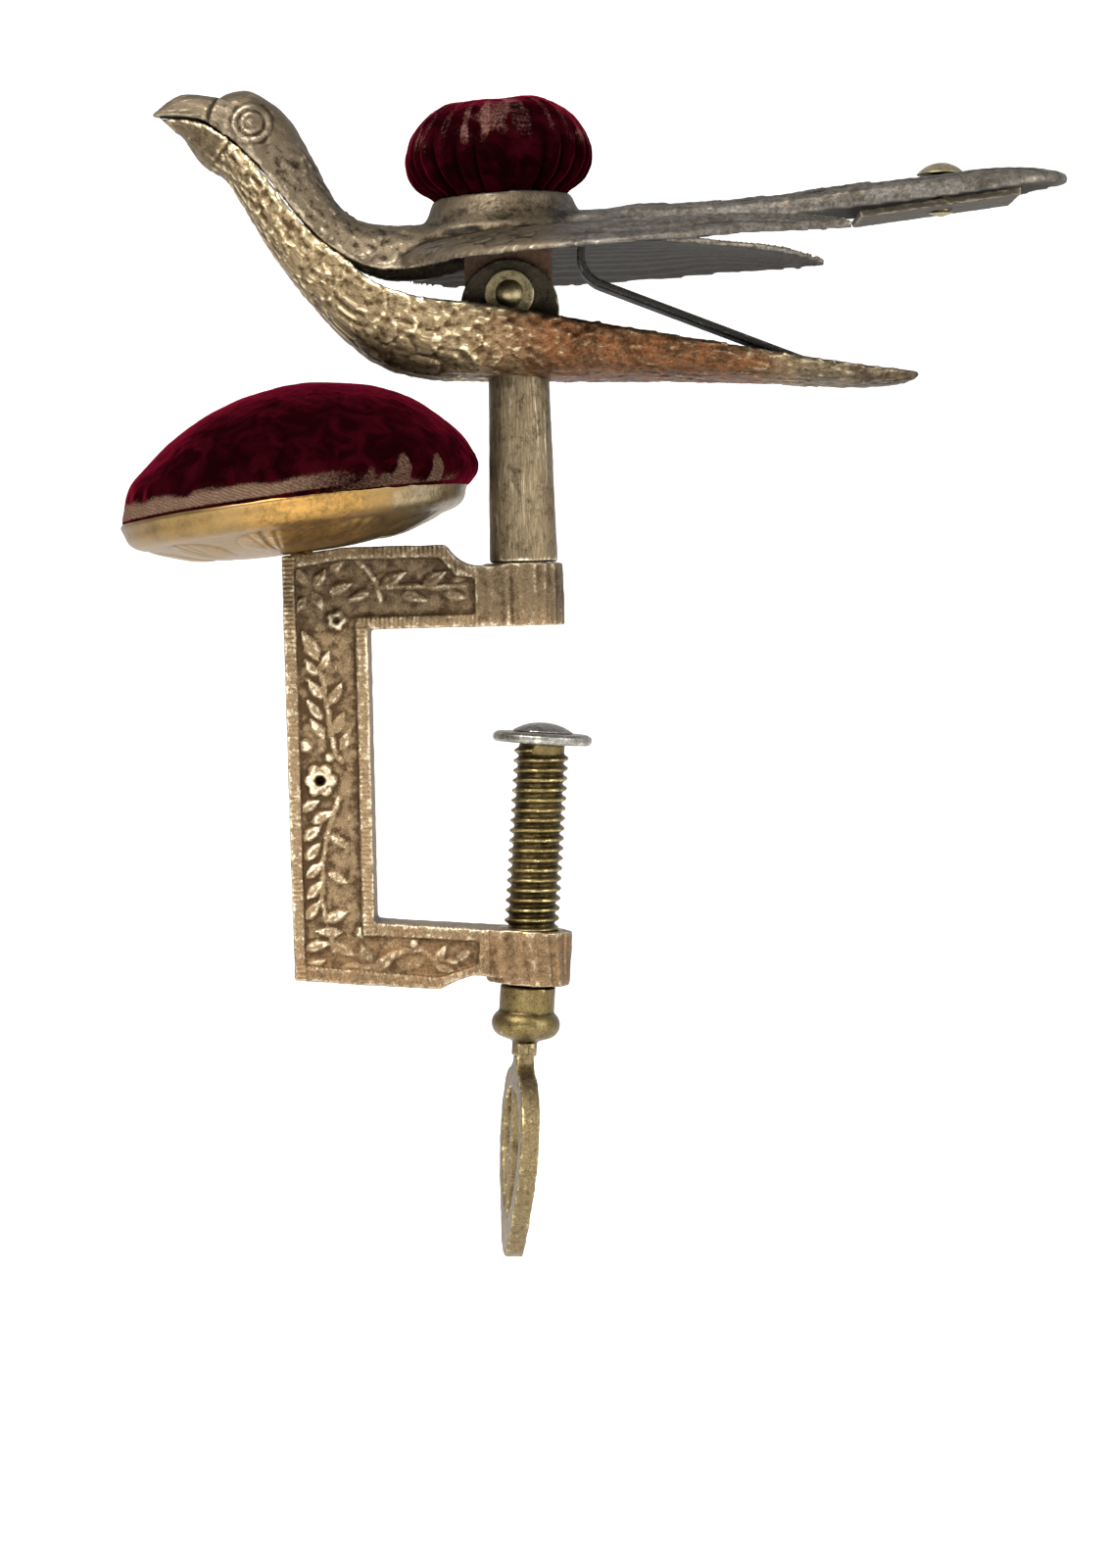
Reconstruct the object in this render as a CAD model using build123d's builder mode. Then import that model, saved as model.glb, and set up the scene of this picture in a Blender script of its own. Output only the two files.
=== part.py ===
"""Sewing bird: a table clamp with a hinged bird that grips cloth in its beak, and two pincushions.

Millimetres, +Z up, beak towards -X. The origin is on the post's axis, in the flat jaw face
under the upper arm, where the clamp bears on the table top.
"""

from math import cos, radians, sin
import os

from build123d import *

os.makedirs("parts", exist_ok=True)

# ---------------------------------------------------------------- driving dimensions
SHEET = 0.6  # brass sheet of the bird's shells
FIT = 0.05  # radial clearance of a turning or sliding fit
SEAT = 0.02  # radial clearance where a riveted piece sits in its hole

# clamp frame
BAR_DEPTH = 7.4
COLUMN_OUT_X, COLUMN_IN_X = -24.6, -16.0
ARM_TOP_Z = 8.4
CORNER_DROP = 0.75  # fall of the sloping seat towards the corner
UPPER_BOSS_R, UPPER_BOSS_H = 4.0, 6.4
LOWER_BOSS_R, LOWER_BOSS_H = 4.35, 5.6
PANEL_BORDER, PANEL_DEPTH = 1.25, 0.45

# clamp screw, on an axis that leans because the lower arm splays
LEAN = 4.8  # degrees
SCREW_CENTRE_Z = -29.0  # where the screw's axis meets the post's axis
LOWER_ARM_TOP, LOWER_ARM_BOTTOM = -2.3, -8.75  # along the screw's axis from there
PITCH = 1.03
CREST_R, ROOT_R = 2.85, 2.35
THREAD_TOP, THREAD_BOTTOM = 16.2, -8.2
PAD_UNDER, PAD_R, PAD_T = 16.9, 5.1, 1.1
SPIGOT_R = 1.3
BEAD_TOP, BEAD_R = -10.85, 3.55

# post and hinge
POST_R_LOW, POST_R_HIGH = 3.5, 3.12
POST_SHOULDER_Z, POST_TOP_Z = 6.45, 26.95
TENON_R = 2.0
PIN_X, PIN_Z, PIN_R = -0.7, 33.5, 1.2
CHEEK_R, CHEEK_T, CHEEK_OUT_Y = 5.0, 0.9, 4.2
CHEEK_TOP_CENTRE_Z = 32.1
YOKE_BASE_T = 0.9
BRACKET_OUT_Y, BRACKET_T = 3.2, 0.8

# domed stud through the tail and the plate under it
BUTTON_X, BUTTON_Z, BUTTON_R, BUTTON_H = 43.6, 44.88, 2.5, 1.2
BUTTON_SHANK_R = 0.9

# pincushions
CUP_R, CUP_TILT = 17.9, 6.5
CUP_RIM_CENTRE = (-23.35, 12.9)  # X, Z
CUP_SHEET = 0.5
RIVET_R = 1.2
LARGE_CROWN = 12.1
COLLAR_X, COLLAR_R, COLLAR_Z, COLLAR_TILT = -1.27, 7.2, 43.65, 2.1
BACK_CUSHION_R = 9.5

# ---------------------------------------------------------------- working planes
lean = radians(LEAN)
screw_axis = Vector(sin(lean), 0, cos(lean))
screw_frame = Plane(
    origin=(0, 0, SCREW_CENTRE_Z), x_dir=(cos(lean), 0, -sin(lean)), z_dir=screw_axis
)
# local x runs along the lower arm, local y up the screw's axis
screw_side = Plane(
    origin=(0, 0, SCREW_CENTRE_Z), x_dir=(cos(lean), 0, -sin(lean)), z_dir=(0, -1, 0)
)
tilt = radians(CUP_TILT)
cup_side = Plane(
    origin=(CUP_RIM_CENTRE[0], 0, CUP_RIM_CENTRE[1]),
    x_dir=(cos(tilt), 0, sin(tilt)),
    z_dir=(0, -1, 0),
)
cup_axis = Axis(
    (CUP_RIM_CENTRE[0], 0, CUP_RIM_CENTRE[1]), (-sin(tilt), 0, cos(tilt))
)
collar_lean = radians(COLLAR_TILT)
collar_side = Plane(
    origin=(COLLAR_X, 0, COLLAR_Z),
    x_dir=(cos(collar_lean), 0, sin(collar_lean)),
    z_dir=(0, -1, 0),
)
collar_axis = Axis(
    (COLLAR_X, 0, COLLAR_Z), (-sin(collar_lean), 0, cos(collar_lean))
)
side = Plane.XZ  # local x = X, local y = Z, and it extrudes towards -Y


def save(piece, name):
    """Label a finished piece and write its STEP file."""
    piece.label = name
    export_step(piece, f"parts/{name}.step")


def from_screw(s, t):
    """Row X and Z of a point given along the lower arm (s) and up the screw's axis (t)."""
    return s * cos(lean) + t * sin(lean), SCREW_CENTRE_Z - s * sin(lean) + t * cos(lean)


def cap_point(reach, rise):
    """Point on the arc of a round head: its distance from the axis and its height over the edge."""
    radius = (rise**2 + reach**2) / (2 * rise)
    half = 0.6 * reach
    return half, rise - radius + (radius**2 - half**2) ** 0.5


def dome_middle(edge, top):
    """Point part way along a round head's arc, for a head whose axis is vertical in the sketch."""
    out, up = cap_point(edge[0] - top[0], abs(top[1] - edge[1]))
    return top[0] + out, edge[1] + (up if top[1] > edge[1] else -up)


# ---------------------------------------------------------------- clamp frame
arm_top_in = from_screw(0, LOWER_ARM_TOP)
throat_corner = from_screw(COLUMN_IN_X, LOWER_ARM_TOP)
arm_bottom_out = from_screw(-9.0, LOWER_ARM_BOTTOM)
foot_corner = from_screw(COLUMN_OUT_X + 0.75, LOWER_ARM_BOTTOM)
notch_low = from_screw(-7.2, -7.75)
notch_mid = from_screw(-5.6, -7.1)
notch_end = from_screw(0, -7.3)
lower_boss_base = screw_frame.offset(LOWER_ARM_TOP + 0.05 - LOWER_BOSS_H)

with BuildPart() as clamp_frame:
    with BuildSketch(side):
        with BuildLine():
            Polyline(
                (0, 0),
                (COLUMN_IN_X, 0),
                throat_corner,
                arm_top_in,
                notch_end,
                notch_mid,
            )
            ThreePointArc(notch_mid, notch_low, arm_bottom_out)
            Polyline(
                arm_bottom_out,
                foot_corner,
                (COLUMN_OUT_X, ARM_TOP_Z - CORNER_DROP),
                (-18.3, ARM_TOP_Z),
                (-7.9, ARM_TOP_Z),
            )
            ThreePointArc((-7.9, ARM_TOP_Z), (-6.6, 6.95), (-4.9, 6.2))
            Polyline((-4.9, 6.2), (0, 6.2), (0, 0))
        make_face()
    extrude(amount=BAR_DEPTH / 2, both=True)
    # recessed panel on both faces, inside a raised border
    with BuildSketch(side.offset(BAR_DEPTH / 2)) as panel:
        with BuildLine():
            Polyline(
                (-5.0, PANEL_BORDER),
                (COLUMN_IN_X - PANEL_BORDER, PANEL_BORDER),
                (throat_corner[0] - PANEL_BORDER, throat_corner[1] - PANEL_BORDER),
                from_screw(-5.2, LOWER_ARM_TOP - PANEL_BORDER),
                from_screw(-5.2, -6.0),
                from_screw(-9.0, LOWER_ARM_BOTTOM + PANEL_BORDER),
                (COLUMN_OUT_X + PANEL_BORDER, foot_corner[1] + PANEL_BORDER + 0.3),
                (COLUMN_OUT_X + PANEL_BORDER, ARM_TOP_Z - CORNER_DROP - PANEL_BORDER),
                (-18.3, ARM_TOP_Z - PANEL_BORDER),
                (-8.6, ARM_TOP_Z - PANEL_BORDER),
                (-6.9, 5.2),
                (-5.0, 5.0),
                close=True,
            )
        make_face()
    extrude(amount=-PANEL_DEPTH, mode=Mode.SUBTRACT)
    with BuildSketch(side.offset(-BAR_DEPTH / 2)):
        add(panel.sketch.moved(Location((0, BAR_DEPTH, 0))))
    extrude(amount=PANEL_DEPTH, mode=Mode.SUBTRACT)
    # upper boss, with a rounded top edge, and lower boss square to the screw
    with BuildSketch(Plane.XY):
        Circle(UPPER_BOSS_R)
    extrude(amount=UPPER_BOSS_H)
    with BuildSketch(lower_boss_base):
        Circle(LOWER_BOSS_R)
    extrude(amount=LOWER_BOSS_H)
    # hole for the post's tenon, and the screw's bore
    with BuildSketch(Plane.XY):
        Circle(TENON_R + SEAT)
    extrude(amount=UPPER_BOSS_H + 1, mode=Mode.SUBTRACT)
    with BuildSketch(lower_boss_base.offset(-1)):
        Circle(CREST_R + 0.08)
    extrude(amount=LOWER_BOSS_H + 2, mode=Mode.SUBTRACT)
    # rivet hole square to the sloping corner seat, under the cup's centre
    with BuildSketch(cup_side):
        with Locations((0, -8.0)):
            Rectangle(RIVET_R + SEAT, 6.0, align=(Align.MIN, Align.CENTER))
    revolve(axis=cup_axis, mode=Mode.SUBTRACT)
save(clamp_frame.part, "clamp_frame")

# ---------------------------------------------------------------- post
head_edge = (2.5, POST_TOP_Z + YOKE_BASE_T + 0.1)
head_top = (0, POST_TOP_Z + YOKE_BASE_T + 0.9)
with BuildPart() as post:
    with BuildSketch(side):
        with BuildLine():
            Polyline(
                (0, 0),
                (TENON_R, 0),
                (TENON_R, POST_SHOULDER_Z),
                (POST_R_LOW, POST_SHOULDER_Z),
                (POST_R_HIGH, 24.6),
                (POST_R_HIGH, POST_TOP_Z),
                (1.6, POST_TOP_Z),
                (1.6, POST_TOP_Z + YOKE_BASE_T + 0.1),
                head_edge,
            )
            ThreePointArc(head_edge, dome_middle(head_edge, head_top), head_top)
            Line(head_top, (0, 0))
        make_face()
    revolve(axis=Axis.Z)
save(post.part, "post")


# ---------------------------------------------------------------- the bird's shells
# Mouth line, in side view: both shells are trimmed along it, from the beak's tip to the breast.
MOUTH = [
    (-37.4, 52.75),
    (-34.5, 52.5),
    (-32.1, 52.1),
    (-29.5, 50.6),
    (-26.55, 47.95),
    (-23.1, 43.35),
    (-20.25, 40.0),
    (-17.2, 37.5),
]
MOUTH_GAP = 0.2

# Half width of the bird at the trim line, for each station along X
UPPER_STATIONS = [  # X, half width, crest Z, trim Z
    (-36.9, 0.3, 53.2, 52.7),
    (-35.2, 1.35, 54.25, 52.5),
    (-32.0, 2.7, 54.9, 52.0),
    (-29.3, 3.9, 54.6, 50.4),
    (-27.3, 4.6, 54.95, 48.7),
    (-24.9, 5.0, 54.1, 45.8),
    (-22.4, 5.1, 51.7, 42.4),
    (-20.0, 5.2, 46.8, 39.8),
    (-17.6, 5.6, 42.75, 37.8),
    (-14.8, 6.2, 41.2, 36.3),
    (-11.0, 7.0, 40.95, 35.9),
    (-5.0, 7.7, 41.5, 37.2),
    (3.0, 7.7, 41.95, 38.9),
    (11.0, 7.0, 42.1, 39.4),
    (19.0, 6.2, 42.15, 39.7),
    (27.0, 6.0, 42.75, 40.4),
    (35.0, 6.2, 43.6, 41.15),
    (42.0, 6.5, 44.35, 41.8),
    (48.0, 6.3, 45.0, 42.5),
    (52.5, 5.1, 45.0, 43.1),
    (55.2, 3.0, 44.65, 43.6),
    (56.6, 0.9, 44.3, 43.8),
]
LOWER_STATIONS = [  # X, half width, keel Z, trim Z
    (-36.2, 0.3, 52.3, 52.6),
    (-34.5, 1.6, 51.2, 52.5),
    (-32.6, 2.4, 48.9, 52.1),
    (-31.2, 3.1, 47.3, 51.6),
    (-29.7, 3.8, 46.6, 50.7),
    (-28.4, 4.3, 44.8, 49.7),
    (-25.8, 4.9, 40.2, 47.0),
    (-22.9, 5.1, 35.75, 43.1),
    (-19.0, 5.4, 31.0, 38.8),
    (-15.0, 6.2, 27.45, 35.5),
    (-11.0, 7.0, 25.8, 33.6),
    (-5.0, 7.7, 25.15, 32.6),
    (3.0, 7.7, 24.9, 31.2),
    (11.0, 7.1, 24.75, 29.7),
    (19.0, 6.4, 24.5, 28.2),
    (27.0, 5.6, 24.05, 26.9),
    (34.0, 4.5, 23.6, 25.75),
    (38.4, 2.9, 23.75, 25.1),
    (40.9, 0.8, 24.45, 24.95),
]
SIDE_FULL, TOP_FULL = 0.8, 0.6  # how far the section's side stays upright and its top flat


def hoop(x, half, trim_z, end_z, wall, skirt):
    """Closed section at X: an arched hoop from trim line to crest or keel and back, wall thinner.

    The side walls run on past the trim line by skirt, so that the trim cut defines the rim.
    """
    up = 1 if end_z > trim_z else -1
    rise = up * max(abs(end_z - trim_z) - wall, 0.12)
    wide = max(half - wall, 0.12)
    foot = trim_z - up * skirt
    crown = trim_z + rise
    with BuildSketch(Plane.YZ.offset(x)) as section:
        with BuildLine():
            Polyline((-wide, trim_z), (-wide, foot), (wide, foot), (wide, trim_z))
            Bezier(
                (wide, trim_z),
                (wide, trim_z + SIDE_FULL * rise),
                (TOP_FULL * wide, crown),
                (0, crown),
            )
            Bezier(
                (0, crown),
                (-TOP_FULL * wide, crown),
                (-wide, trim_z + SIDE_FULL * rise),
                (-wide, trim_z),
            )
        make_face()
    return section.sketch


def hoop_loft(stations, wall, skirt):
    """Solid inside a row of hoop sections."""
    sections = [hoop(x, half, trim, end, wall, skirt) for x, half, end, trim in stations]
    return loft(sections)


lower_outer = hoop_loft(LOWER_STATIONS, 0, 3.0)
lower_inner = hoop_loft(LOWER_STATIONS[1:-1], SHEET, 4.5)
LOWER_TRIM = [(x, z - MOUTH_GAP / 2) for x, z in MOUTH] + [
    (-14.2, 35.0),
    (-10.6, 33.55),
    (-5.6, 32.7),
    (2.2, 31.4),
    (12.0, 29.55),
    (21.9, 27.75),
    (31.75, 26.05),
    (41.5, 24.85),
]
with BuildPart() as lower_shell:
    add(lower_outer)
    add(lower_inner, mode=Mode.SUBTRACT)
    with BuildSketch(side):
        with BuildLine():
            Spline(LOWER_TRIM)
            Polyline(LOWER_TRIM[-1], (41.5, 60), (-37.4, 60), LOWER_TRIM[0])
        make_face()
    extrude(amount=12, both=True, mode=Mode.SUBTRACT)
    # hole that the post stands in
    with BuildSketch(Plane.XY.offset(22)):
        Circle(POST_R_HIGH + SEAT)
    extrude(amount=8, mode=Mode.SUBTRACT)
save(lower_shell.part, "lower_shell")

upper_outer = hoop_loft(UPPER_STATIONS, 0, 2.5)
upper_inner = hoop_loft(UPPER_STATIONS[2:-1], SHEET, 6.0)
UPPER_TRIM = [(x, z + MOUTH_GAP / 2) for x, z in MOUTH] + [
    (-14.8, 36.4),
    (-11.5, 35.9),
    (-8.0, 36.3),
    (-3.0, 37.7),
    (3.0, 38.9),
    (11.0, 39.4),
    (19.0, 39.7),
    (27.0, 40.4),
    (35.0, 41.15),
    (42.0, 41.8),
    (48.0, 42.5),
    (53.0, 43.15),
    (57.2, 43.75),
]

# Wing blade stations: X, inner Y, outer Y, inner Z, outer edge Z (top surface)
WING_STATIONS = [
    (-11.4, 5.6, 8.0, 37.4, 36.2),
    (-8.0, 5.8, 13.6, 38.7, 36.4),
    (-3.0, 6.0, 17.6, 39.5, 36.5),
    (4.0, 5.9, 20.2, 39.9, 36.8),
    (11.0, 5.4, 21.0, 40.1, 37.1),
    (18.0, 8.6, 20.8, 39.9, 37.5),
    (25.0, 13.0, 20.2, 39.6, 37.8),
    (30.0, 16.4, 19.6, 39.1, 37.95),
    (33.2, 18.6, 19.1, 38.3, 38.1),
]
WING_CAMBER = 1.9  # rise of the blade's outer control point over its chord


def blade(x, y_in, y_out, z_in, z_out):
    """Section of the wing on the -Y side: a cambered strip of sheet."""
    width = y_out - y_in
    bulge = WING_CAMBER * min(1.0, width / 11)
    third, rest = y_in + 0.35 * width, y_in + 0.82 * width
    heights = (z_in, z_in + 0.35 * (z_out - z_in) + 0.6 * bulge, z_out + 0.9 * bulge, z_out)
    top = list(zip((-y_in, -third, -rest, -y_out), heights))
    bottom = [(y, z - SHEET) for y, z in reversed(top)]
    with BuildSketch(Plane.YZ.offset(x)) as section:
        with BuildLine():
            Bezier(*top)
            Line(top[-1], bottom[0])
            Bezier(*bottom)
            Line(bottom[-1], top[0])
        make_face()
    return section.sketch


near_wing = loft([blade(*station) for station in WING_STATIONS])
far_wing = mirror(near_wing, about=Plane.XZ)

with BuildPart() as upper_shell:
    add(upper_outer)
    with BuildSketch(side):
        with BuildLine():
            Spline(UPPER_TRIM)
            Polyline(UPPER_TRIM[-1], (57.2, 30), (-37.4, 30), UPPER_TRIM[0])
        make_face()
    extrude(amount=12, both=True, mode=Mode.SUBTRACT)
    add(near_wing)
    add(far_wing)
    # flared collar on the back, which holds the small cushion
    with BuildSketch(collar_side):
        with BuildLine():
            Polyline((COLLAR_R - SHEET, 0), (COLLAR_R, 0))
            ThreePointArc((COLLAR_R, 0), (7.75, -1.75), (9.4, -3.6))
            Polyline((9.4, -3.6), (8.6, -3.9), (COLLAR_R - SHEET, -3.2), (COLLAR_R - SHEET, 0))
        make_face()
    revolve(axis=collar_axis)
    add(upper_inner, mode=Mode.SUBTRACT)
    # rivet hole in the tail
    with BuildSketch(Plane.XY.offset(38)):
        with Locations((BUTTON_X, 0)):
            Circle(BUTTON_SHANK_R + SEAT)
    extrude(amount=10, mode=Mode.SUBTRACT)
save(upper_shell.part, "upper_shell")


# ---------------------------------------------------------------- hinge
def pin_hole(radius):
    """Circle on the hinge pin's axis, in front of the hinge."""
    with BuildSketch(side.offset(8), mode=Mode.PRIVATE) as hole:
        with Locations((PIN_X, PIN_Z)):
            Circle(radius)
    return hole.sketch


with BuildPart() as hinge_yoke:
    yoke_low = POST_TOP_Z
    for face_y in (CHEEK_OUT_Y, -CHEEK_OUT_Y + CHEEK_T):
        with BuildSketch(side.offset(face_y)):
            with BuildLine():
                Polyline(
                    (PIN_X - CHEEK_R, CHEEK_TOP_CENTRE_Z),
                    (PIN_X - CHEEK_R, yoke_low),
                    (PIN_X + CHEEK_R, yoke_low),
                    (PIN_X + CHEEK_R, CHEEK_TOP_CENTRE_Z),
                )
                ThreePointArc(
                    (PIN_X + CHEEK_R, CHEEK_TOP_CENTRE_Z),
                    (PIN_X, CHEEK_TOP_CENTRE_Z + CHEEK_R),
                    (PIN_X - CHEEK_R, CHEEK_TOP_CENTRE_Z),
                )
            make_face()
        extrude(amount=-CHEEK_T)
    with BuildSketch(Plane.XY.offset(yoke_low)):
        with Locations((PIN_X, 0)):
            Rectangle(2 * CHEEK_R, 2 * CHEEK_OUT_Y)
    extrude(amount=YOKE_BASE_T)
    with BuildSketch(Plane.XY.offset(yoke_low)):
        Circle(1.6 + SEAT)
    extrude(amount=YOKE_BASE_T, mode=Mode.SUBTRACT)
    extrude(pin_hole(PIN_R + SEAT), amount=-16, mode=Mode.SUBTRACT)
save(hinge_yoke.part, "hinge_yoke")

BRACKET_X = (-5.2, 3.7)
BRACKET_TOP_Z = 40.25
with BuildPart() as hinge_bracket:
    for face_y in (BRACKET_OUT_Y, -BRACKET_OUT_Y + BRACKET_T):
        with BuildSketch(side.offset(face_y)):
            with BuildLine():
                Polyline(
                    (BRACKET_X[0], PIN_Z),
                    (BRACKET_X[0], BRACKET_TOP_Z),
                    (BRACKET_X[1], BRACKET_TOP_Z),
                    (BRACKET_X[1], PIN_Z),
                )
                ThreePointArc(
                    (BRACKET_X[1], PIN_Z), (PIN_X, PIN_Z - 4.3), (BRACKET_X[0], PIN_Z)
                )
            make_face()
        extrude(amount=-BRACKET_T)
    with BuildSketch(Plane.XY.offset(BRACKET_TOP_Z)):
        with Locations((sum(BRACKET_X) / 2, 0)):
            Rectangle(BRACKET_X[1] - BRACKET_X[0], 2 * BRACKET_OUT_Y)
    extrude(amount=-BRACKET_T)
    extrude(pin_hole(PIN_R + FIT), amount=-16, mode=Mode.SUBTRACT)
save(hinge_bracket.part, "hinge_bracket")

WASHER_R, WASHER_T = 2.5, 0.5
HEAD_R, HEAD_H = 1.5, 1.0
pin_end_y = CHEEK_OUT_Y + WASHER_T
head_out, head_up = cap_point(HEAD_R, HEAD_H)
with BuildPart() as hinge_pin:
    with BuildSketch(Plane.YZ.offset(PIN_X)):
        with BuildLine():
            Line((-pin_end_y - HEAD_H, PIN_Z), (pin_end_y + HEAD_H, PIN_Z))
            ThreePointArc(
                (pin_end_y + HEAD_H, PIN_Z),
                (pin_end_y + head_up, PIN_Z + head_out),
                (pin_end_y, PIN_Z + HEAD_R),
            )
            Polyline(
                (pin_end_y, PIN_Z + HEAD_R),
                (pin_end_y, PIN_Z + PIN_R),
                (-pin_end_y, PIN_Z + PIN_R),
                (-pin_end_y, PIN_Z + HEAD_R),
            )
            ThreePointArc(
                (-pin_end_y, PIN_Z + HEAD_R),
                (-pin_end_y - head_up, PIN_Z + head_out),
                (-pin_end_y - HEAD_H, PIN_Z),
            )
        make_face()
    revolve(axis=Axis((PIN_X, 0, PIN_Z), (0, 1, 0)))
save(hinge_pin.part, "hinge_pin")

with BuildPart() as pin_washers:
    for outer_y in (pin_end_y, -CHEEK_OUT_Y):
        with BuildSketch(side.offset(outer_y)):
            with Locations((PIN_X, PIN_Z)):
                Circle(WASHER_R)
                Circle(PIN_R + SEAT, mode=Mode.SUBTRACT)
        extrude(amount=-WASHER_T)
save(pin_washers.part, "pin_washers")

# ---------------------------------------------------------------- leaf spring and its rivet
SPRING_T, SPRING_W = 0.8, 4.8
BEND_R = 3.1
BEND_X, BEND_Z = 9.75, 37.4
LEG_SLOPE = radians(22)
leg_start = (BEND_X - BEND_R * sin(LEG_SLOPE), BEND_Z - BEND_R * cos(LEG_SLOPE))
LEG_LENGTH = 22.6
leg_end = (leg_start[0] + LEG_LENGTH * cos(LEG_SLOPE), leg_start[1] - LEG_LENGTH * sin(LEG_SLOPE))
SPRING_TOP_X = 16.5
SPRING_RIVET_X, SPRING_RIVET_R = 13.5, 0.8
with BuildPart() as leaf_spring:
    with BuildLine(side) as spring_line:
        Line((SPRING_TOP_X, BEND_Z + BEND_R), (BEND_X, BEND_Z + BEND_R))
        ThreePointArc((BEND_X, BEND_Z + BEND_R), (BEND_X - BEND_R, BEND_Z), leg_start)
        Line(leg_start, leg_end)
    spring_start = (SPRING_TOP_X, 0, BEND_Z + BEND_R)
    with BuildSketch(Plane(spring_start, x_dir=(0, 1, 0), z_dir=(-1, 0, 0))):
        RectangleRounded(SPRING_W, SPRING_T, 0.15)
    sweep(path=spring_line.line)
    with BuildSketch(Plane.XY.offset(BEND_Z)):
        with Locations((SPRING_RIVET_X, 0)):
            Circle(SPRING_RIVET_R + SEAT)
    extrude(amount=BEND_R + 1, mode=Mode.SUBTRACT)
save(leaf_spring.part, "leaf_spring")

with BuildPart() as spring_rivet:
    rivet_low = BEND_Z + BEND_R - SPRING_T / 2
    with BuildSketch(side):
        with BuildLine():
            Polyline(
                (SPRING_RIVET_X, rivet_low - 0.5),
                (SPRING_RIVET_X, rivet_low + SPRING_T + 0.25),
                (SPRING_RIVET_X + SPRING_RIVET_R, rivet_low + SPRING_T + 0.25),
                (SPRING_RIVET_X + SPRING_RIVET_R, rivet_low),
                (SPRING_RIVET_X + 1.3, rivet_low),
            )
            rivet_rim = (SPRING_RIVET_X + 1.3, rivet_low)
            rivet_tip = (SPRING_RIVET_X, rivet_low - 0.5)
            ThreePointArc(rivet_rim, dome_middle(rivet_rim, rivet_tip), rivet_tip)
        make_face()
    revolve(axis=Axis((SPRING_RIVET_X, 0, 0), (0, 0, 1)))
save(spring_rivet.part, "spring_rivet")

# ---------------------------------------------------------------- tail plate and button
PLATE_FROM, PLATE_TO = (34.9, 40.2), (51.2, 42.1)
PLATE_T, PLATE_W = 0.75, 10.4
with BuildPart() as tail_plate:
    slope = Vector(PLATE_TO[0] - PLATE_FROM[0], 0, PLATE_TO[1] - PLATE_FROM[1])
    plate_plane = Plane(
        origin=(PLATE_FROM[0], 0, PLATE_FROM[1]), x_dir=slope, z_dir=slope.cross(Vector(0, 1, 0))
    )
    with BuildSketch(plate_plane):
        with Locations((slope.length / 2, 0)):
            Rectangle(slope.length, PLATE_W)
    extrude(amount=PLATE_T)
    with BuildSketch(Plane.XY.offset(38)):
        with Locations((BUTTON_X, 0)):
            Circle(BUTTON_SHANK_R + SEAT)
    extrude(amount=8, mode=Mode.SUBTRACT)
save(tail_plate.part, "tail_plate")

with BuildPart() as tail_button:
    with BuildSketch(side):
        with BuildLine():
            Polyline(
                (BUTTON_X, 40.55),
                (BUTTON_X + 1.3, 40.95),
                (BUTTON_X + BUTTON_SHANK_R, 40.95),
                (BUTTON_X + BUTTON_SHANK_R, BUTTON_Z),
                (BUTTON_X + BUTTON_R, BUTTON_Z),
            )
            button_rim = (BUTTON_X + BUTTON_R, BUTTON_Z)
            button_top = (BUTTON_X, BUTTON_Z + BUTTON_H)
            ThreePointArc(button_rim, dome_middle(button_rim, button_top), button_top)
            Line(button_top, (BUTTON_X, 40.55))
        make_face()
    revolve(axis=Axis((BUTTON_X, 0, 0), (0, 0, 1)))
save(tail_button.part, "tail_button")

# ---------------------------------------------------------------- large pincushion
with BuildPart() as pincushion_cup:
    with BuildSketch(cup_side):
        with BuildLine():
            Polyline((RIVET_R + SEAT, -4.9), (5.0, -4.9), (10.4, -4.35), (13.4, -3.6), (14.8, -2.7))
            Polyline((14.8, -2.7), (16.7, -2.2), (17.7, -1.4), (CUP_R, 0), (CUP_R - CUP_SHEET, 0))
            Polyline(
                (CUP_R - CUP_SHEET, 0),
                (17.2, -1.25),
                (16.4, -1.75),
                (14.7, -2.2),
                (13.2, -3.05),
                (10.2, -3.85),
                (5.0, -4.4),
                (RIVET_R + SEAT, -4.4),
                (RIVET_R + SEAT, -4.9),
            )
        make_face()
    revolve(axis=cup_axis)
save(pincushion_cup.part, "pincushion_cup")

with BuildPart() as cup_rivet:
    with BuildSketch(cup_side):
        with BuildLine():
            Polyline(
                (0, -10.5), (RIVET_R, -10.5), (RIVET_R, -4.35), (2.4, -4.35), (2.2, -3.8), (0, -3.6)
            )
            Line((0, -3.6), (0, -10.5))
        make_face()
    revolve(axis=cup_axis)
save(cup_rivet.part, "cup_rivet")

VELVET_T = 0.7
CARD_T = 0.6
FOOT_R, FOOT_Z = 16.1, -1.6  # the cushion's base, down inside the cup


def dome_outline(inset):
    """Half outline of the large cushion, inset from its face, from crown to foot."""
    crown, shoulder = (0, LARGE_CROWN - inset), (15.6 - 0.8 * inset, 6.1 - 0.6 * inset)
    edge, neck = (18.1 - inset, 1.5), (16.9 - inset, 0.05)
    ThreePointArc(crown, (9.2 - 0.5 * inset, 10.25 - 0.85 * inset), shoulder)
    ThreePointArc(shoulder, (17.7 - inset, 3.4), edge)
    Polyline(edge, neck, (FOOT_R - inset, FOOT_Z))
    return crown, (FOOT_R - inset, FOOT_Z)


with BuildPart() as large_cushion_velvet:
    with BuildSketch(cup_side):
        with BuildLine():
            out_crown, out_foot = dome_outline(0)
            in_crown, in_foot = dome_outline(VELVET_T)
            Line(out_crown, in_crown)
            Line(out_foot, in_foot)
        make_face()
    revolve(axis=cup_axis)
save(large_cushion_velvet.part, "large_cushion_velvet")

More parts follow.
